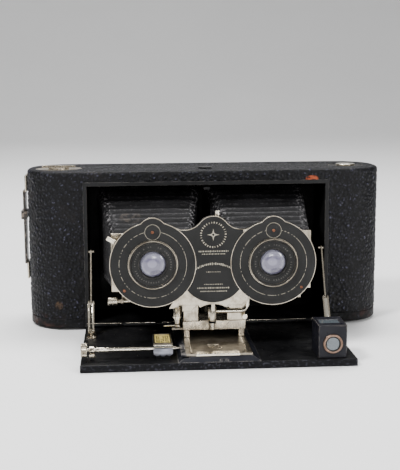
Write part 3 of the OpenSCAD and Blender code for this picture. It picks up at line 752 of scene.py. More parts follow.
def skin(name, verts, faces, creases, inward, edge=0.9):
    """A grained sheet whose open edges are turned inward."""
    mesh = bpy.data.meshes.new(name)
    mesh.from_pydata([Vector(v) * MM for v in verts], [], faces)
    mesh.attributes.new("crease", "FLOAT", "POINT").data.foreach_set("value", creases)
    bm = bmesh.new()
    bm.from_mesh(mesh)
    bmesh.ops.delete(bm, geom=[v for v in bm.verts if not v.link_faces], context="VERTS")
    bmesh.ops.recalc_face_normals(bm, faces=bm.faces)
    rim = bmesh.ops.extrude_edge_only(bm, edges=[e for e in bm.edges if e.is_boundary])
    for v in rim["geom"]:
        if isinstance(v, bmesh.types.BMVert):
            v.co += inward(v.co) * edge * MM
    bmesh.ops.recalc_face_normals(bm, faces=bm.faces)
    bm.to_mesh(mesh)
    bm.free()
    return put(name, mesh)


def wall_rows(z0, z1, turn, step, marks=()):
    """Rows of (height, inset) from z0 up to z1, ending in a rounded edge."""
    top = z1 - turn
    count = int((top - z0) / step)
    heights = sorted({z0 + (top - z0) * i / count for i in range(count + 1)} | set(marks))
    rows = [(z, 0.0) for z in heights]
    for i in range(1, 5):
        a = math.pi / 2 * i / 4
        rows.append((top + turn * math.sin(a), turn * (1 - math.cos(a))))
    return rows


def in_opening(point):
    return FRAME_LOW.x < point[0] < FRAME_HIGH.x and point[1] < -20 and point[2] < FRAME_HIGH.z


def circle(centre, r, steps=64):
    return arc(centre, r, 0, 360 - 360 / steps, steps - 1)


def top_sheet(name, path, holes, z):
    """The leather on top: the plan's outline filled, less the holes, with its grain in the mesh."""
    outer = [(p[0] - p[2] * EDGE_TURN, p[1] - p[3] * EDGE_TURN) for p in path[::2]]
    flat = [[Vector((p[0], p[1], 0)) for p in loop] for loop in [outer] + holes]
    points = [p for loop in [outer] + holes for p in loop]
    tris = geometry.tessellate_polygon(flat)
    bm = bmesh.new()
    spots = [bm.verts.new(Vector((p[0], p[1], z)) * MM) for p in points]
    for t in tris:
        bm.faces.new([spots[i] for i in t])
    for _ in range(7):
        long = [e for e in bm.edges if e.calc_length() > SHEET_STEP * 1.6 * MM]
        if not long:
            break
        bmesh.ops.subdivide_edges(bm, edges=long, cuts=1)
        bmesh.ops.triangulate(bm, faces=[f for f in bm.faces if len(f.verts) > 3])
    bmesh.ops.beautify_fill(bm, faces=bm.faces, edges=[e for e in bm.edges if not e.is_boundary])
    bm.verts.ensure_lookup_table()
    verts, creases = [], []
    for v in bm.verts:
        crease = pebble(v.co / MM)
        creases.append(crease)
        verts.append((v.co.x / MM, v.co.y / MM, z - 0.1 - (0.0 if v.is_boundary else 0.4 * crease)))
    faces = [[v.index for v in f.verts] for f in bm.faces]
    bm.free()
    return skin(name, verts, faces, creases, lambda co: Vector((0, 0, -1)), 0.8)


def make_covering():
    """Grained leather of the body, its foot band and its back, cut round the opening and the fittings."""
    split = BODY_HIGH.y
    top = BODY_HIGH.z
    plates = mm_box("top_plates")
    key, knob = mm_box("winding_key"), mm_box("spool_knob")
    key_c = ((key[0].x + key[1].x) / 2, (key[0].y + key[1].y) / 2)
    knob_c = ((knob[0].x + knob[1].x) / 2, (knob[0].y + knob[1].y) / 2)
    button = mm_box("bed_button")
    path = plan_path(split, True, GRAIN_STEP)
    rows = wall_rows(BAND_TOP, top, EDGE_TURN, GRAIN_STEP, (FRAME_HIGH.z,))
    finish_piece(skin_wall("front_leather", path, rows, in_opening), "leather_wrap", "leather", smooth=85)
    holes = [circle(key_c, key_c[0] - plates[0].x + 0.1), circle(knob_c, plates[1].x - knob_c[0] + 0.1),
        circle((0, button[1].y - 5), 5.4, 32)]
    finish_piece(top_sheet("top_leather", path, holes, top), "leather_wrap", "leather", smooth=85)
    low_rows = wall_rows(BODY_LOW.z, BAND_TOP - 0.15, 0.5, 0.8)
    low_path = [(x - nx * 0.3, y - ny * 0.3, nx, ny) for x, y, nx, ny in plan_path(split, True, 1.0)]
    band = skin_wall("foot_band", low_path, low_rows, in_opening, 0.2)
    finish_piece(band, "leather_wrap", "band", smooth=85)
    back_path = plan_path(split + 0.1, False, GRAIN_STEP)
    back_rows = wall_rows(BACK_LOW.z, top, EDGE_TURN, GRAIN_STEP)

    def in_window(point):
        return point[1] > 20 and any(math.dist((point[0], point[2]), w) < WINDOW_R for w in WINDOWS)

    finish_piece(skin_wall("back_wall", back_path, back_rows, in_window), "back_leather", "leather",
        smooth=85)
    finish_piece(top_sheet("back_top", back_path, [], top), "back_leather", "leather", smooth=85)


# ---------------------------------------------------------------- bellows

BELLOWS_BACK, BELLOWS_FRONT = 9.9, -85.9
PLEATS = 11
HALF_PLEAT = (BELLOWS_BACK - BELLOWS_FRONT) / PLEATS / 2
# Half width, bottom, top and depth of the pleats, at the back and at the front.
BACK_SIZE, FRONT_SIZE = (38.2, 28, 99, 4.4), (27, 38, 77, 3.2)
# Shares of a panel's width that get a point, and how worn the leather is near its corners.
PANEL_POINTS = (0, 0.03, 0.09, 0.2, 0.35, 0.5, 0.65, 0.8, 0.91, 0.97)
CORNER_WEAR = {0: 1.0, 0.03: 0.7, 0.97: 0.7}
# How far the rear part and the middle part of the bellows are squeezed.
REAR_TRAVEL, MAIN_TRAVEL = 8.0, 66.0


def bellows_ring(share, fold, cx):
    """Outline of the bellows at a share of its length, as (x, z, wear) round the four panels.

    fold runs from 0, with the top panels out and the side panels in, to 1, the other way round.
    """
    hw, z0, z1 = [a + (b - a) * share for a, b in zip(BACK_SIZE[:3], FRONT_SIZE[:3])]
    deep = BACK_SIZE[3] - (BACK_SIZE[3] - FRONT_SIZE[3]) * share
    side, top = deep * (1 - fold), deep * fold
    corners = [(cx - hw + side, z1 - top), (cx + hw - side, z1 - top), (cx + hw - side, z0 + top),
        (cx - hw + side, z0 + top)]
    out = []
    for i, (x, z) in enumerate(corners):
        nx, nz = corners[(i + 1) % 4]
        peak = (1 - fold) if i % 2 == 0 else fold
        fold_wear = 0.5 * max(0.0, peak * 6 - 5)
        for t in PANEL_POINTS:
            out.append((x + (nx - x) * t, z + (nz - z) * t, max(CORNER_WEAR.get(t, 0.0), fold_wear)))
    return out


def bellows_part(name, cx, y_back, y_front):
    """The pleated leather between two depths."""
    length = BELLOWS_BACK - BELLOWS_FRONT
    half = HALF_PLEAT
    steps = [k + d for k in range(2 * PLEATS + 1) for d in (-0.09, 0.09, 0.5)]
    steps = sorted(t for t in set(steps + [0.0, 2.0 * PLEATS]) if 0 <= t <= 2 * PLEATS)
    cuts = [(BELLOWS_BACK - y_back) / half, (BELLOWS_BACK - y_front) / half]
    steps = sorted({t for t in steps if cuts[0] < t < cuts[1]} | set(cuts))
    verts, faces, wear = [], [], []
    for t in steps:
        y = BELLOWS_BACK - half * t
        fold = abs((t % 2) - 1)
        ring = bellows_ring((BELLOWS_BACK - y) / length, 1 - fold, cx)
        for x, z, worn in ring:
            jig = noise.noise_vector(Vector((x, y, z)) / 14) * 0.7
            verts.append((x + jig.x, y + jig.y * 0.4, z + jig.z))
            wear.append(worn)
    size = 4 * len(PANEL_POINTS)
    for i in range(len(steps) - 1):
        for j in range(size):
            m = (j + 1) % size
            faces.append((i * size + j, i * size + m, (i + 1) * size + m, (i + 1) * size + j))
    mesh = bpy.data.meshes.new(name)
    mesh.from_pydata([Vector(v) * MM for v in verts], [], faces)
    mesh.attributes.new("wear", "FLOAT", "POINT").data.foreach_set("value", wear)
    clean(mesh, merge=False)
    obj = put(name, mesh)
    soft = obj.modifiers.new("soft", "SUBSURF")
    soft.levels = soft.render_levels = 1
    thick = obj.modifiers.new("thickness", "SOLIDIFY")
    thick.thickness = 0.35 * MM
    thick.offset = 0
    return obj


def freeze(obj):
    """Applies an object's modifiers."""
    bpy.context.view_layer.update()
    mesh = bpy.data.meshes.new_from_object(obj.evaluated_get(bpy.context.evaluated_depsgraph_get()))
    obj.modifiers.clear()
    obj.data = mesh
    return obj


def make_bellows(node):
    """One bellows in three parts: the rear rides with the camera body, the middle with the focus track, and
    the front stays where it is.
    """
    low, high = mm_box(node)
    cx = (low.x + high.x) / 2
    cut_a, cut_b = BELLOWS_BACK - 2 * HALF_PLEAT, BELLOWS_BACK - (2 * PLEATS - 1) * HALF_PLEAT
    spans = {"rear": (BELLOWS_BACK, cut_a), "main": (cut_a, cut_b), "front": (cut_b, BELLOWS_FRONT)}
    for part, span in spans.items():
        obj = freeze(bellows_part(f"{node}_{part}", cx, *span))
        obj.data.shade_smooth()
        obj.data.set_sharp_from_angle(angle=math.radians(50))
        obj.data.materials.append(LOOK["bellows_leather"])
        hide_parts(node)
        if part == "front":
            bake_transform(obj)
            continue
        if part == "rear":
            travel, body, joint = REAR_TRAVEL, "camera_body", "focus_slide"
        else:
            travel, body, joint = MAIN_TRAVEL, "focus_track", "standard_slide"
        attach(obj, body)
        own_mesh(obj)


# ---------------------------------------------------------------- shutter and lenses

FACE_LOW, FACE_HIGH = mm_box("face_covers")
DIALS = [mm_box("speed_dial_left"), mm_box("speed_dial_right")]
EYES = [(b[0].x + b[1].x) / 2 for b in DIALS]
MID_X = sum(EYES) / 2
BUMP_Z = (DIALS[0][0].z + DIALS[0][1].z) / 2
LENS_Z = (mm_box("iris_left")[0].z + mm_box("iris_left")[1].z) / 2
FRONT_Y = FACE_LOW.y
# Radii of the discs, of the dial bumps on them and of the fillets beside the bumps.
DISC_R, BUMP_R, BUMP_FILLET = 28.0, 9.4, 0.9
HUMP_Z, HUMP_R, BELLY_Z, BELLY_R, FILLET_R = 78.7, 10.8, 54.2, 22.0, 13.0
RIM_W = 0.38
COVER_INSET = 0.34
LENS_HOLE_R = 16.2
# Radius and angles of the copper pins on the discs, and the engraved circle round each lens.
PIN_AT, PIN_ANGLES, CIRCLE_R = 25, {"left": 222, "right": -42}, 21.8
# Rows of strokes on the middle cover: height, half length, height of the strokes.
STROKE_ROWS = ((66.4, 9.5, 1.1), (64.6, 7.5, 0.7), (56.6, 11.5, 1.7), (52.8, 4.5, 0.6), (44.6, 6.0, 0.6),
    (42.2, 10.5, 1.1), (40.0, 8.5, 0.8))
MARKS_R, REAR_END = 11.8, -84


def tangent_centre(a, ra, b, rb, side):
    """Where circles about a and b of radii ra and rb cross, on the given side of the line a to b."""
    a, b = Vector(a), Vector(b)
    d = (b - a).length
    along = (d * d + ra * ra - rb * rb) / (2 * d)
    up = math.sqrt(max(0, ra * ra - along * along))
    u = (b - a) / d
    return a + u * along + Vector((-u.y, u.x)) * up * side


def angle(a, b):
    return math.degrees(math.atan2(b[1] - a[1], b[0] - a[0]))


def disc_outline(cx, inset=0.0):
    """A large disc with its dial bump and small fillets beside the bump."""
    centre, bump = (cx, LENS_Z), (cx, BUMP_Z)
    r, b, f = DISC_R - inset, BUMP_R - inset, BUMP_FILLET + inset
    left = tangent_centre(centre, r + f, bump, b + f, 1)
    right = tangent_centre(centre, r + f, bump, b + f, -1)
    a0, a1 = angle(centre, left), angle(centre, right)
    loop = arc(centre, r, a0, a1 + 360, 150)
    loop += arc(right, f, angle(right, centre) % 360, angle(right, bump) % 360, 8)[1:]
    loop += arc(bump, b, angle(bump, right), angle(bump, left), 40)[1:]
    loop += arc(left, f, angle(left, bump) % 360, angle(left, centre) % 360, 8)[1:-1]
    return loop


def middle_outline(inset=0.0):
    """The hump, the hollow curves to the discs, and the belly below."""
    hump, belly = (MID_X, HUMP_Z), (MID_X, BELLY_Z)
    left_eye, right_eye = (EYES[0], LENS_Z), (EYES[1], LENS_Z)
    f = FILLET_R + inset
    right = tangent_centre(hump, HUMP_R - inset + f, right_eye, DISC_R - inset + f, 1)
    left = tangent_centre(hump, HUMP_R - inset + f, left_eye, DISC_R - inset + f, -1)
    loop = arc(hump, HUMP_R - inset, angle(hump, right), angle(hump, left), 40)
    loop += arc(left, f, angle(left, hump), angle(left, left_eye), 24)[1:]
    loop += [(EYES[0] + 17, LENS_Z + 12), (EYES[0] + 19, LENS_Z - 8)]
    loop += arc(belly, BELLY_R - inset, 207, 333, 60)
    loop += [(EYES[1] - 19, LENS_Z - 8), (EYES[1] - 17, LENS_Z + 12)]
    loop += arc(right, f, angle(right, right_eye), angle(right, hump), 24)[:-1]
    return loop


def engraved(name, centre, r, width, spans):
    """Painted arcs on a face: a band for each (start, end) of angles."""
    parts = []
    for i, (a0, a1) in enumerate(spans):
        steps = max(3, int(abs(a1 - a0) / 3))
        outer = arc(centre, r + width / 2, a0, a1, steps)
        inner = arc(centre, r - width / 2, a1, a0, steps)
        parts.append(plate(f"{name}_{i}", outer + inner, [], (FRONT_Y - 0.05, FRONT_Y + 0.15), 0))
    return joined(name, parts) if len(parts) > 1 else parts[0]


def make_faces():
    """Charcoal covers with nickel rims, engraved circles, ornament and pins."""
    y0, y1 = FRONT_Y, FACE_HIGH.y
    middle = plate("middle_cover", middle_outline(COVER_INSET), [], (y0 + 0.35, y1), 0.12)
    finish_piece(middle, "face_covers", "shutter_enamel")
    extra(ring_band("middle_rim", middle_outline(), RIM_W, (y0 + 0.25, y1 + 0.1), 0.1), "face_covers",
        "nickel")
    for side, cx in zip(("left", "right"), EYES):
        hole = circle((cx, LENS_Z), LENS_HOLE_R, 96)
        cover = plate(f"{side}_cover", disc_outline(cx, COVER_INSET), [hole], (y0, y1), 0.15)
        finish_piece(cover, "face_covers", "shutter_enamel")
        extra(ring_band(f"{side}_rim", disc_outline(cx), RIM_W, (y0 - 0.1, y1), 0.1), "face_covers",
            "nickel")
        dashes = [(a, a + random.choice((1.6, 3.2, 5.4, 5.8))) for a in range(104, 436, 6)]
        line = engraved(f"{side}_circle", (cx, LENS_Z), CIRCLE_R, 0.26, dashes)
        extra(line, "face_covers", "ivory")
        loop = engraved(f"{side}_dial_ring", (cx, BUMP_Z), 4.95, 0.3,
            [(a, a + 17) for a in range(0, 360, 18)])
        extra(loop, "face_covers", "ivory")
        turn = math.radians(PIN_ANGLES[side])
        pin_at = (cx + PIN_AT * math.cos(turn), y0 - 0.28, LENS_Z + PIN_AT * math.sin(turn))
        pin = lathe(f"{side}_pin", [(0.01, 0), (0.75, 0), (1.0, 0.25), (1.0, 0.6), (0.01, 0.6)], pin_at,
            steps=24,
            closed=False)
        extra(pin, "face_covers", "copper")
    emblem()


def emblem():
    """A ring of ticks round a four-point star, and rows of small strokes that stand for no letters."""
    centre = (MID_X, HUMP_Z - 1.5)
    spans = [(a, a + random.choice((2.5, 4, 5.5))) for a in range(0, 360, 12)]
    ticks = engraved("hump_ticks", centre, 8.0, 1.1, spans)
    star = []
    for i in range(16):
        r = 4.0 if i % 4 == 0 else 1.4
        star.append((centre[0] + r * math.cos(math.pi * i / 8), centre[1] + r * math.sin(math.pi * i / 8)))
    y0, y1 = FRONT_Y + 0.28, FRONT_Y + 0.5
    star_piece = plate("hump_star", star, [circle(centre, 0.8, 16)], (FRONT_Y + 0.25, y1), 0)
    lines = []
    for i, (z, w, tall) in enumerate(STROKE_ROWS):
        x = -w
        while x < w:
            wide = random.uniform(0.35, 0.9)
            bow = 3.2 * (1 - (x / w) ** 2) - 1.6 if tall > 1.5 else 0.0
            rise = tall * random.uniform(0.3, 0.5)
            lines.append(brick(f"dash_{i}_{len(lines)}", (MID_X + x, y0, z + bow - rise),
                (MID_X + x + wide, y1, z + bow + rise), 0.05, 1))
            x += wide + random.uniform(0.35, 0.6)
    for piece in (ticks, star_piece, joined("rule_dashes", lines)):
        extra(piece, "face_covers", "ivory")


def make_lenses():
    """Lens mounts with a thin bright rim, a stepped black well, a ring of dim marks and domed glass."""
    y = mm_box("lens_cells")[0].y
    for side, cx in zip(("left", "right"), EYES):
        centre = (cx, 0, LENS_Z)
        flange = [(15.2, y + 0.25), (15.45, y + 0.05), (15.75, y + 0.1), (15.8, y + 0.5), (15.2, y + 0.7)]
        extra(lathe(f"{side}_lens_rim", flange, centre, steps=128), "lens_cells", "dull_nickel",
            50)
        well = [(15.6, FRONT_Y + 0.2), (15.6, y + 0.7), (15.15, y + 0.35), (14.4, y + 0.45),
            (14.15, y + 1.3),
            (13.4, y + 1.5), (11.2, y + 2.1), (9.6, y + 2.5), (9.3, y + 2.0), (8.9, y + 2.1),
            (8.45, y + 3.2),
            (8.4, -97.4), (15.0, -97.4), (15.0, FRONT_Y + 0.2)]
        finish_piece(lathe(f"{side}_lens_mount", well, centre, steps=128), "lens_cells", "shutter_enamel",
            smooth=30)
        glint = [(14.15, y + 1.25), (14.3, y + 1.05), (14.2, y + 0.9), (14.05, y + 1.2)]
        extra(lathe(f"{side}_inner_rim", glint, centre, steps=128), "lens_cells", "dull_nickel",
            50)
        marks = []
        for k in range(0, 360, 8):
            if random.random() < 0.2:
                continue
            a = math.radians(k)
            mid = Vector((cx + MARKS_R * math.cos(a), 0, LENS_Z + MARKS_R * math.sin(a)))
            wide = random.uniform(0.18, 0.4)
            mark = brick(f"mark_{k}", (-wide, y + 1.78, -0.5), (wide, y + 2.1, 0.5), 0.05, 1)
            mark.data.transform(Matrix.Rotation(-(a - math.pi / 2), 4, "Y"))
            mark.data.transform(Matrix.Translation(mid * MM))
            marks.append(mark)
        extra(joined(f"{side}_lens_marks", marks), "lens_cells", "dim_ivory")
        rear = [(12.0, -95), (12.0, REAR_END - 0.2), (11.6, REAR_END), (8.8, REAR_END),
            (8.6, REAR_END - 0.3),
            (8.6, -95)]
        finish_piece(lathe(f"{side}_rear_cell", rear, centre), "lens_cells", "shutter_enamel")
        dome = [(0.01, y + 2.3)] + [(8.4 * math.sin(t), y + 2.3 + 2.2 * (1 - math.cos(t)))
            for t in [0.16 * k for k in range(1, 10)]] + [(8.4, y + 4.9), (0.01, y + 4.9)]
        glass_piece = lathe(f"{side}_front_glass", dome, centre, closed=False)
        finish_piece(glass_piece, "lens_glasses", "glass", smooth=50)
        rear_dome = [(0.01, -87.6), (8.5, -87.2), (8.5, -86)] + [(8.5 * math.cos(0.26 * k),
            -86 + 1.5 * math.sin(0.26 * k)) for k in range(1, 6)] + [(0.01, -84.5)]
        rear_glass = lathe(f"{side}_rear_glass", rear_dome, centre, closed=False)
        finish_piece(rear_glass, "lens_glasses", "clear_glass", smooth=50)


def make_dials():
    """Speed dials: a black dished disc with a copper pin."""
    for side, cx in zip(("left", "right"), EYES):
        node = f"speed_dial_{side}"
        low, high = mm_box(node)
        y = low.y
        centre = (cx, 0, BUMP_Z)
        dish = [(0.01, y + 0.5), (3.2, y + 0.5), (3.9, y + 0.1), (4.4, y + 0.1), (4.55, y + 0.3),
            (4.55, high.y),
            (0.01, high.y)]
        finish_piece(lathe(f"{side}_dial", dish, centre, steps=64, closed=False), node, "shutter_enamel")
        pin = [(0.01, y + 0.02), (0.8, y + 0.05), (1.0, y + 0.25), (1.0, y + 0.6), (0.01, y + 0.6)]
        extra(lathe(f"{side}_dial_pin", pin, centre, steps=32, closed=False), node, "copper")


# ---------------------------------------------------------------- bed fittings

# Bars of each numeral that the scale carries, and the scale's two rows: distance from the near edge, text.
SEGMENTS = {"0": "abcdef", "2": "abged", "5": "afgcd", "6": "afgcde", "8": "abcdefg", "1": "bc"}
SCALE_ROWS = ((1.6, "825"), (10.8, "610"))
# The track plate's left edge, the back of its rack, the teeth's spacing and number, the guides' place.
TRACK_EDGE, RACK_BACK, TOOTH, TEETH, GUIDE_X = -21.0, -100, 1.1, 23, 17.6
# The hook on the track plate: centre, radius and angles of its two arcs.
HOOK_ARCS = (((-3.4, -111), 2.6, 60, 300), ((0.6, -114.5), 2.2, -120, 100))
# Knee and foot of the lower struts, and the webs between their bars, as spans of x.
KNEE, FOOT = Vector((0, -47, 21)), Vector((0, -57, 4.2))
WEBS = {"left": ((-85.3, -83.6), (-82.5, -81.1)), "right": ((80.9, 84.6),)}
# The air valve's axis, and the pipe beside it: radius, depth, height, radius of its bend, sides.
VALVE = (-1.8, -92.6, 0)
PIPE_R, PIPE_Y, PIPE_Z, PIPE_BEND, PIPE_SIDES = 1.3, -90.9, 24.1, 4.0, 20
KNOB_HOLE_R = 7.4


def digit(sign, x, y, z, wide, tall):
    """A plain numeral of small bars lying on a flat top, x to its left and y to its near edge."""
    bar, half = wide * 0.26, tall / 2
    spans = {"a": (0, tall - bar, wide, tall), "g": (0, half - bar / 2, wide, half + bar / 2),
        "d": (0, 0, wide, bar), "f": (0, half, bar, tall), "e": (0, 0, bar, half),
        "b": (wide - bar, half, wide, tall), "c": (wide - bar, 0, wide, half)}
    bars = []
    for k in SEGMENTS[sign]:
        x0, y0, x1, y1 = spans[k]
        bars.append(brick(f"bar_{sign}_{k}", (x + x0, y + y0, z), (x + x1, y + y1, z + 0.12), 0.02, 1))
    return bars


def make_scale():
    """Focus scale: celluloid with two rows of numerals in a nickel tray, and the saddle over the rod."""
    low, high = mm_box("focus_scale")
    rod = mm_box("focus_rod")
    rod_y, rod_z = (rod[0].y + rod[1].y) / 2, (rod[0].z + rod[1].z) / 2
    near, far = low.y + 6.6, high.y - 1.4
    foot_z = low.z - 0.2
    tray = [brick("tray_base", (low.x, low.y + 4.8, low.z - 0.6), (high.x, high.y, low.z - 0.1), 0.15)]
    for part, x0, y0, x1, y1 in (("near", low.x, low.y + 4.8, high.x, near),
            ("far", low.x, far, high.x, high.y),
            ("left", low.x, near - 0.3, low.x + 1.2, far + 0.3),
            ("right", high.x - 1.2, near - 0.3, high.x, far + 0.3)):
        tray.append(brick(f"tray_{part}", (x0, y0, foot_z), (x1, y1, high.z), 0.2))
    extra(joined("scale_tray", tray), "focus_scale", "dull_nickel")
    card = brick("scale_card", (low.x + 1.0, near - 0.2, foot_z), (high.x - 1.0, far + 0.2, low.z + 0.25),
        0.1)
    extra(card, "focus_scale", "scale_celluloid", replace=True)
    marks = []
    for row, text in SCALE_ROWS:
        for i, sign in enumerate(text):
            marks += digit(sign, low.x + 2.1 + 2.9 * i, near + row, low.z + 0.25, 2.1, 6.6)
    for i in range(9):
        marks.append(brick(f"tick_{i}", (low.x + 1.9 + i, near + 9.0, low.z + 0.25),
            (low.x + 2.15 + i, near + 10.0, low.z + 0.36), 0.02, 1))
    extra(joined("scale_numbers", marks), "focus_scale", "ink")
    bar = [(0.01, low.x), (0.95, low.x), (1.1, low.x + 0.2), (1.1, high.x - 0.2), (0.95, high.x),
        (0.01, high.x)]
    extra(lathe("scale_bar", bar, (0, low.y + 3.2, low.z - 0.5), "X", 32, False), "focus_scale",
        "bright_nickel")
    base = mm_box("focus_bearings")[0]
    x0, x1 = low.x - 0.2, high.x - 0.2
    saddle = [(x0, rod_z + 0.6), (x1, rod_z + 0.6)]
    count = 24
    for i in range(count + 1):
        t = i / count
        drop = 3.0 + 0.9 * abs(math.sin(3 * math.pi * t)) + 0.7 * math.sin(math.pi * t)
        saddle.append((x1 - (high.x - low.x) * t, rod_z + 0.6 - drop - 0.6))
    parts = [plate("saddle_front", saddle, [], (base.y + 0.05, base.y + 0.9), 0.15),
        brick("saddle_body", (x0, base.y + 0.6, rod_z - 2.6), (x1, base.y + 5.6, rod_z + 0.6), 0.3),
        brick("saddle_back", (x0, base.y + 5.4, rod_z - 1), (x1, high.y + 0.2, rod_z + 0.1), 0.2)]
    extra(joined("rod_saddle", parts), "focus_bearings", "saddle_metal", replace=True)
    posts = [brick("post_scale", (low.x + 1.6, base.y + 1.2, base.z), (high.x - 2, base.y + 5, rod_z - 2.4),
        0.2),
        brick("post_back", (low.x + 1.8, -92, base.z), (high.x - 2.2, -87.6, rod_z - 0.8), 0.2),
        brick("post_knob", (base.x + 0.8, base.y + 1, base.z), (base.x + 3.4, base.y + 4.6, 3.6), 0.2)]
    extra(joined("bearing_posts", posts), "focus_bearings", "bed_enamel")
    block = [(1.35, base.x + 0.1), (2.3, base.x + 0.1), (2.7, base.x + 0.5), (2.7, base.x + 3.6),
        (2.3, base.x + 4),
        (1.35, base.x + 4)]
    outer = bevel(lathe("outer_bearing", block, (0, rod_y, rod_z), "X", 8), 0.3, 2, 20)
    foot = brick("outer_foot", (base.x + 0.3, base.y + 0.6, rod_z - 4.4),
        (base.x + 3.8, base.y + 5, rod_z - 1.9))
    extra(joined("knob_bearing", [outer, foot]), "focus_bearings", "nickel")


def make_focus_rod():
    """The focusing rod, thick at the knob and thin at the scale, and its coarse-knurled knob."""
    rod = mm_box("focus_rod")
    centre = (0, (rod[0].y + rod[1].y) / 2, (rod[0].z + rod[1].z) / 2)
    x0, x1 = rod[0].x, rod[1].x
    shape = [(0.01, x0), (1.1, x0), (1.1, x0 + 5.4), (1.6, x0 + 5.7), (1.6, x0 + 13), (1.35, x0 + 14),
        (1.4, x0 + 30),
        (1.15, x0 + 41), (1.1, x1 - 7.5), (0.8, x1 - 5.5), (0.45, x1 - 3.2), (0.35, x1 - 0.1), (0.01, x1)]
    extra(lathe("focus_spindle", shape, centre, "X", 40, False), "focus_rod", "bright_nickel", replace=True)
    teeth = knurled("pinion", 1.45, 0.3, (x1 - 2.7, x1 - 0.3), 10, centre, 0.5, 0.2)
    extra(teeth, "focus_rod", "ramp_enamel")
    low, high = mm_box("focus_knob")
    knob = knurled("focus_grip", high.z - centre[2], 0.01, (low.x, high.x), 18, centre, 0.55, 0.45)
    extra(knob, "focus_knob", "nickel", replace=True, smooth=30)


def make_track():
    """The sliding plate with its guides and hook, a dark rack, and a bright bar with two screws."""
    low, high = mm_box("track_plate")
    top = high.z - 0.1
    body = brick("track_body", (TRACK_EDGE, low.y + 0.8, low.z), (high.x, high.y, top), 0.15)
    extra(body, "track_plate", "dull_nickel", replace=True)
    rack = [brick("rack_strip", (low.x, low.y + 0.8, low.z), (TRACK_EDGE + 0.1, RACK_BACK, top - 0.5), 0.1)]
    for i in range(TEETH):
        y = low.y + TOOTH * i
        rack.append(brick(f"rack_{i}", (low.x, y + 1.2, top - 0.6), (TRACK_EDGE - 0.1, y + 1.75, top - 0.1),
            0.05, 1))
    extra(joined("track_rack", rack), "track_plate", "ramp_enamel")
    extra(brick("track_bar", (-15, low.y, low.z), (13, low.y + 5.6, high.z), 0.25), "track_plate",
        "bright_nickel")
    guides = [brick(f"guide_{s}", (s * GUIDE_X - 0.5, low.y + 1.2, top - 0.2),
        (s * GUIDE_X + 0.5, high.y - 1, high.z - 0.02), 0.15, 1) for s in (-1, 1)]
    extra(joined("track_guides", guides), "track_plate", "nickel")
    head = [(0.01, high.z), (0.9, high.z), (1.15, high.z - 0.2), (1.15, top - 0.3), (0.01, top - 0.3)]
    screws = [lathe(f"track_screw_{i}", head, (x, low.y + 2.6, 0), "Z", 24, False) for i, x in
        enumerate((-17.6, 15.2))]
    extra(joined("track_screws", screws), "track_plate", "inner_black")
    hook = []
    for i, (centre, r, a0, a1) in enumerate(HOOK_ARCS):
        outer, inner = arc(centre, r, a0, a1, 20), arc(centre, r - 0.8, a1, a0, 20)
        ring = plate(f"hook_{i}", outer + inner, [], (0, 0.35), 0.1)
        ring.data.transform(Matrix(((1, 0, 0, 0), (0, 0, 1, 0), (0, 1, 0, (top + 0.05) * MM), (0, 0, 0, 1))))
        hook.append(ring)
    hook.append(brick("hook_bar", (-6.5, -106.4, top), (1.5, -105.5, top + 0.35), 0.1, 1))
    extra(joined("track_hook", hook), "track_plate", "bright_nickel")


def make_struts():
    """Web plates that face forward between the bars of the lower struts."""
    along = (FOOT - KNEE).normalized()
    out = Vector((0, along.z, -along.y))
    out = out if out.y < 0 else -out
    ends = (KNEE + along * 0.6 + out * 2.35, FOOT - along * 1.6 + out * 2.35)
    for side, spans in WEBS.items():
        webs = []
        for i, span in enumerate(spans):
            verts = [(x, p.y + out.y * d, p.z + out.z * d) for x in span for p in ends for d in (-0.45, 0)]
            webs.append(bevel(build(f"web_{side}_{i}", verts, BOX_FACES), 0.15))
        extra(joined(f"strut_web_{side}", webs), "bed_struts", "bright_nickel")


def make_finder_ring():
    """Brass ring of the finder, with a dark slope down to the glass."""
    low, high = mm_box("finder_ring")
    centre = ((low.x + high.x) / 2, 0, (low.z + high.z) / 2)
    y = low.y
    brass = [(6.35, high.y + 0.1), (6.35, y + 0.5), (6.0, y + 0.08), (5.4, y), (4.95, y + 0.25),
        (4.8, high.y + 0.1)]
    extra(lathe("finder_bezel", brass, centre), "finder_ring", "brass", replace=True, smooth=50)
    slope = [(4.85, y + 0.35), (4.05, high.y - 0.5), (4.05, high.y - 0.42), (4.9, high.y - 0.42)]
    extra(lathe("finder_slope", slope, centre), "finder_ring", "shutter_enamel")


def air_pipe():
    """The pipe from the valve, with its bend up to the shutter."""
    route = [Vector((-0.6, PIPE_Y, PIPE_Z)), Vector((17.6, PIPE_Y, PIPE_Z))]
    for k in range(1, 9):
        t = math.pi / 2 * k / 8
        route.append(Vector((17.8 + PIPE_BEND * math.sin(t), PIPE_Y,
            PIPE_Z + PIPE_BEND * (1 - math.cos(t)))))
    route.append(Vector((21.8, PIPE_Y, 35.8)))
    n = PIPE_SIDES
    verts, faces = [], []
    for i, p in enumerate(route):
        ahead = (route[min(i + 1, len(route) - 1)] - route[max(i - 1, 0)]).normalized()
        side = Vector((-ahead.z, 0, ahead.x))
        for k in range(n):
            a = 2 * math.pi * k / n
            verts.append(p + (side * math.cos(a) + Vector((0, 1, 0)) * math.sin(a)) * PIPE_R)
    for i in range(len(route) - 1):
        for k in range(n):
            m = (k + 1) % n
            faces.append((i * n + k, i * n + m, i * n + n + m, i * n + n + k))
    faces += [tuple(range(n)), tuple(range(len(verts) - n, len(verts)))]
    return build("air_pipe", verts, faces)


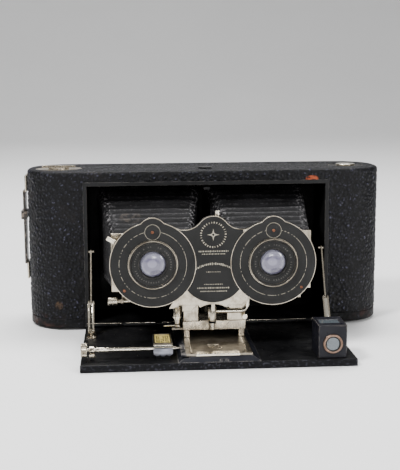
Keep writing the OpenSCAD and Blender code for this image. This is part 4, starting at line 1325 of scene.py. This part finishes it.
def make_tube():
    """The rise screw, the centre valve with its pipe, and the side plunger."""
    low, high = mm_box("rise_screw")
    centre = ((low.x + high.x) / 2, (low.y + high.y) / 2, 0)
    z0, z1 = low.z, high.z
    r = (high.x - low.x) / 2
    screw = [(0.01, z0), (1.9, z0), (1.9, z0 + 2.6), (2.4, z0 + 2.9), (2.4, z0 + 3.7), (r, z0 + 4.1),
        (r, z0 + 5.0),
        (r - 0.3, z0 + 5.3), (r - 0.1, z1 - 1.1), (r, z1 - 0.9), (r, z1 - 0.2), (r - 0.3, z1), (1.9, z1),
        (1.7, z1 - 0.2)]
    extra(lathe("rise_head", screw, centre, "Z", 64, False), "rise_screw", "bright_nickel", 40, True)
    cup = [(0.01, z1 - 1.6), (1.75, z1 - 1.6), (1.75, z1 - 0.15)]
    extra(lathe("rise_cup", cup, centre, "Z", 48, False), "rise_screw", "inner_black")
    shape = [(0.01, 12.0), (1.5, 12.0), (1.9, 12.4), (1.9, 15.6), (2.5, 16.0), (2.5, 16.8), (1.8, 17.2),
        (1.8, 17.9),
        (2.8, 18.3), (2.9, 19), (2.9, 27.3), (2.6, 27.8), (0.01, 28)]
    extra(lathe("valve_body", shape, VALVE, "Z", 64, False), "air_fittings", "nickel", 40, True)
    ring = [(1.75, 17.1), (2.45, 17.1), (2.45, 18.0), (1.75, 18.0)]
    extra(lathe("valve_gap", ring, VALVE, "Z", 48), "air_fittings", "inner_black")
    extra(air_pipe(), "air_fittings", "bright_nickel", 50)
    plunger = [(0.01, -70.3), (2.3, -70.3), (2.65, -70), (2.65, -68.6), (2.4, -68.4), (2.4, -67.4),
        (2.65, -67.2),
        (2.65, -64.2), (2.2, -63.8), (1.5, -63.6), (1.5, -61.8), (2.1, -61.6), (2.1, -60.4), (1.3, -60.2),
        (1.1, -55),
        (0.01, -55)]
    extra(lathe("plunger", plunger, (0, -93, 32.8), "X", 48, False), "air_fittings", "nickel", 40)
    extra(brick("plunger_arm", (-59, -93.6, 32.1), (-55, -89.6, 33.5), 0.2), "air_fittings", "nickel")


def make_top_ring():
    """The dark recessed ring round the spool knob."""
    low, high = mm_box("spool_knob")
    plates = mm_box("top_plates")[1]
    centre = ((low.x + high.x) / 2, (low.y + high.y) / 2, 0)
    outer = plates.x - centre[0]
    z0, z1 = plates.z - 0.2, plates.z + 0.06
    ring = [(KNOB_HOLE_R, z0), (outer - 0.6, z0), (outer - 0.9, z1), (KNOB_HOLE_R, z1)]
    extra(lathe("knob_ring", ring, centre, "Z"), "top_plates", "shutter_enamel")


def make_hinge():
    """Painted highlight: a thin bright pin along the front of the nickel hinge, in broken lengths where it
    glints.
    """
    low, high = mm_box("bed_hinge")
    r = (high.z - low.z) / 2
    y, z = low.y + r * 0.25, high.z - r * 0.25
    pin_r = 0.36
    x = low.x + 1
    pins = []
    while x < high.x - 3:
        length = min(random.uniform(14, 34), high.x - 1 - x)
        shape = [(0.01, x), (pin_r, x), (pin_r, x + length), (0.01, x + length)]
        pins.append(lathe(f"pin_{len(pins)}", shape, (0, y, z), "X", 12, False))
        x += length + random.uniform(1.5, 5)
    extra(joined("hinge_glints", pins), "bed_hinge", "bright_nickel")


# ---------------------------------------------------------------- assembly of the picture

LOOK = make_materials()
make_camera()
make_stage()
make_covering()
for bellows_node in ("bellows_left", "bellows_right"):
    make_bellows(bellows_node)
for make in (make_faces, make_lenses, make_dials, make_scale, make_focus_rod, make_track, make_struts,
        make_finder_ring, make_tube, make_hinge, make_top_ring):
    make()

# Nodes that keep their CAD shape with bevelled edges: look and width of the bevel.
PLAIN = {"case": ("inner_black", 0.6), "rear_frame": ("inner_black", 0.5), "back_cover": ("body_metal", 0.5),
    "opening_frame": ("frame_enamel", 0.25), "floor_rails": ("bed_enamel", 0.3),
    "tripod_bush": ("nickel", 0.3),
    "spool_pivots": ("nickel", 0.2), "top_plates": ("nickel", 0.2), "strap_brackets": ("nickel", 0.5),
    "strap": ("strap_leather", 0.4), "bed_hinge": ("bed_enamel", 0.15), "bed_plate": ("bed_enamel", 0.4),
    "bed_leather": ("bed_leather", 0.5), "track_base": ("ramp_enamel", 0.35), "bed_struts": ("nickel", 0.2),
    "strut_fittings": ("nickel", 0.15),
    "finder_box": ("finder_enamel", 0.9), "finder_glass": ("clear_glass", 0.15),
    "finder_mirror": ("mirror", 0.1), "standard_foot": ("nickel", 0.4), "standard_uprights": ("nickel", 0.3),
    "clamp_lever": ("bright_nickel", 0.4), "lock_knob": ("bright_nickel", 0.4),
    "lens_board": ("nickel", 0.2), "shutter_housing": ("shutter_enamel", 0.2),
    "face_plate": ("nickel", 0.15),
    "iris_left": ("steel", 0.05), "iris_right": ("steel", 0.05),
    "shutter_blade_left": ("shutter_enamel", 0.05),
    "shutter_blade_right": ("shutter_enamel", 0.05), "aperture_pointer": ("nickel", 0.1),
    "release_lever": ("bright_nickel", 0.2), "setting_lever": ("bright_nickel", 0.2),
    "winding_key": ("nickel", 0.3),
    "takeup_spool": ("spool_wood", 0.2),
    "supply_spool": ("spool_wood", 0.2), "roller_left": ("steel", 0.2), "roller_right": ("steel", 0.2),
    "spool_knob": ("bright_nickel", 0.4), "bed_button": ("bed_enamel", 0.3),
    "pressure_plate": ("body_metal", 0.3),
    "red_window": ("ruby", 0.2), "back_latches": ("nickel", 0.3)}
for cad_node, (finish_name, edge_width) in PLAIN.items():
    refine(cad_node, finish_name, edge_width)
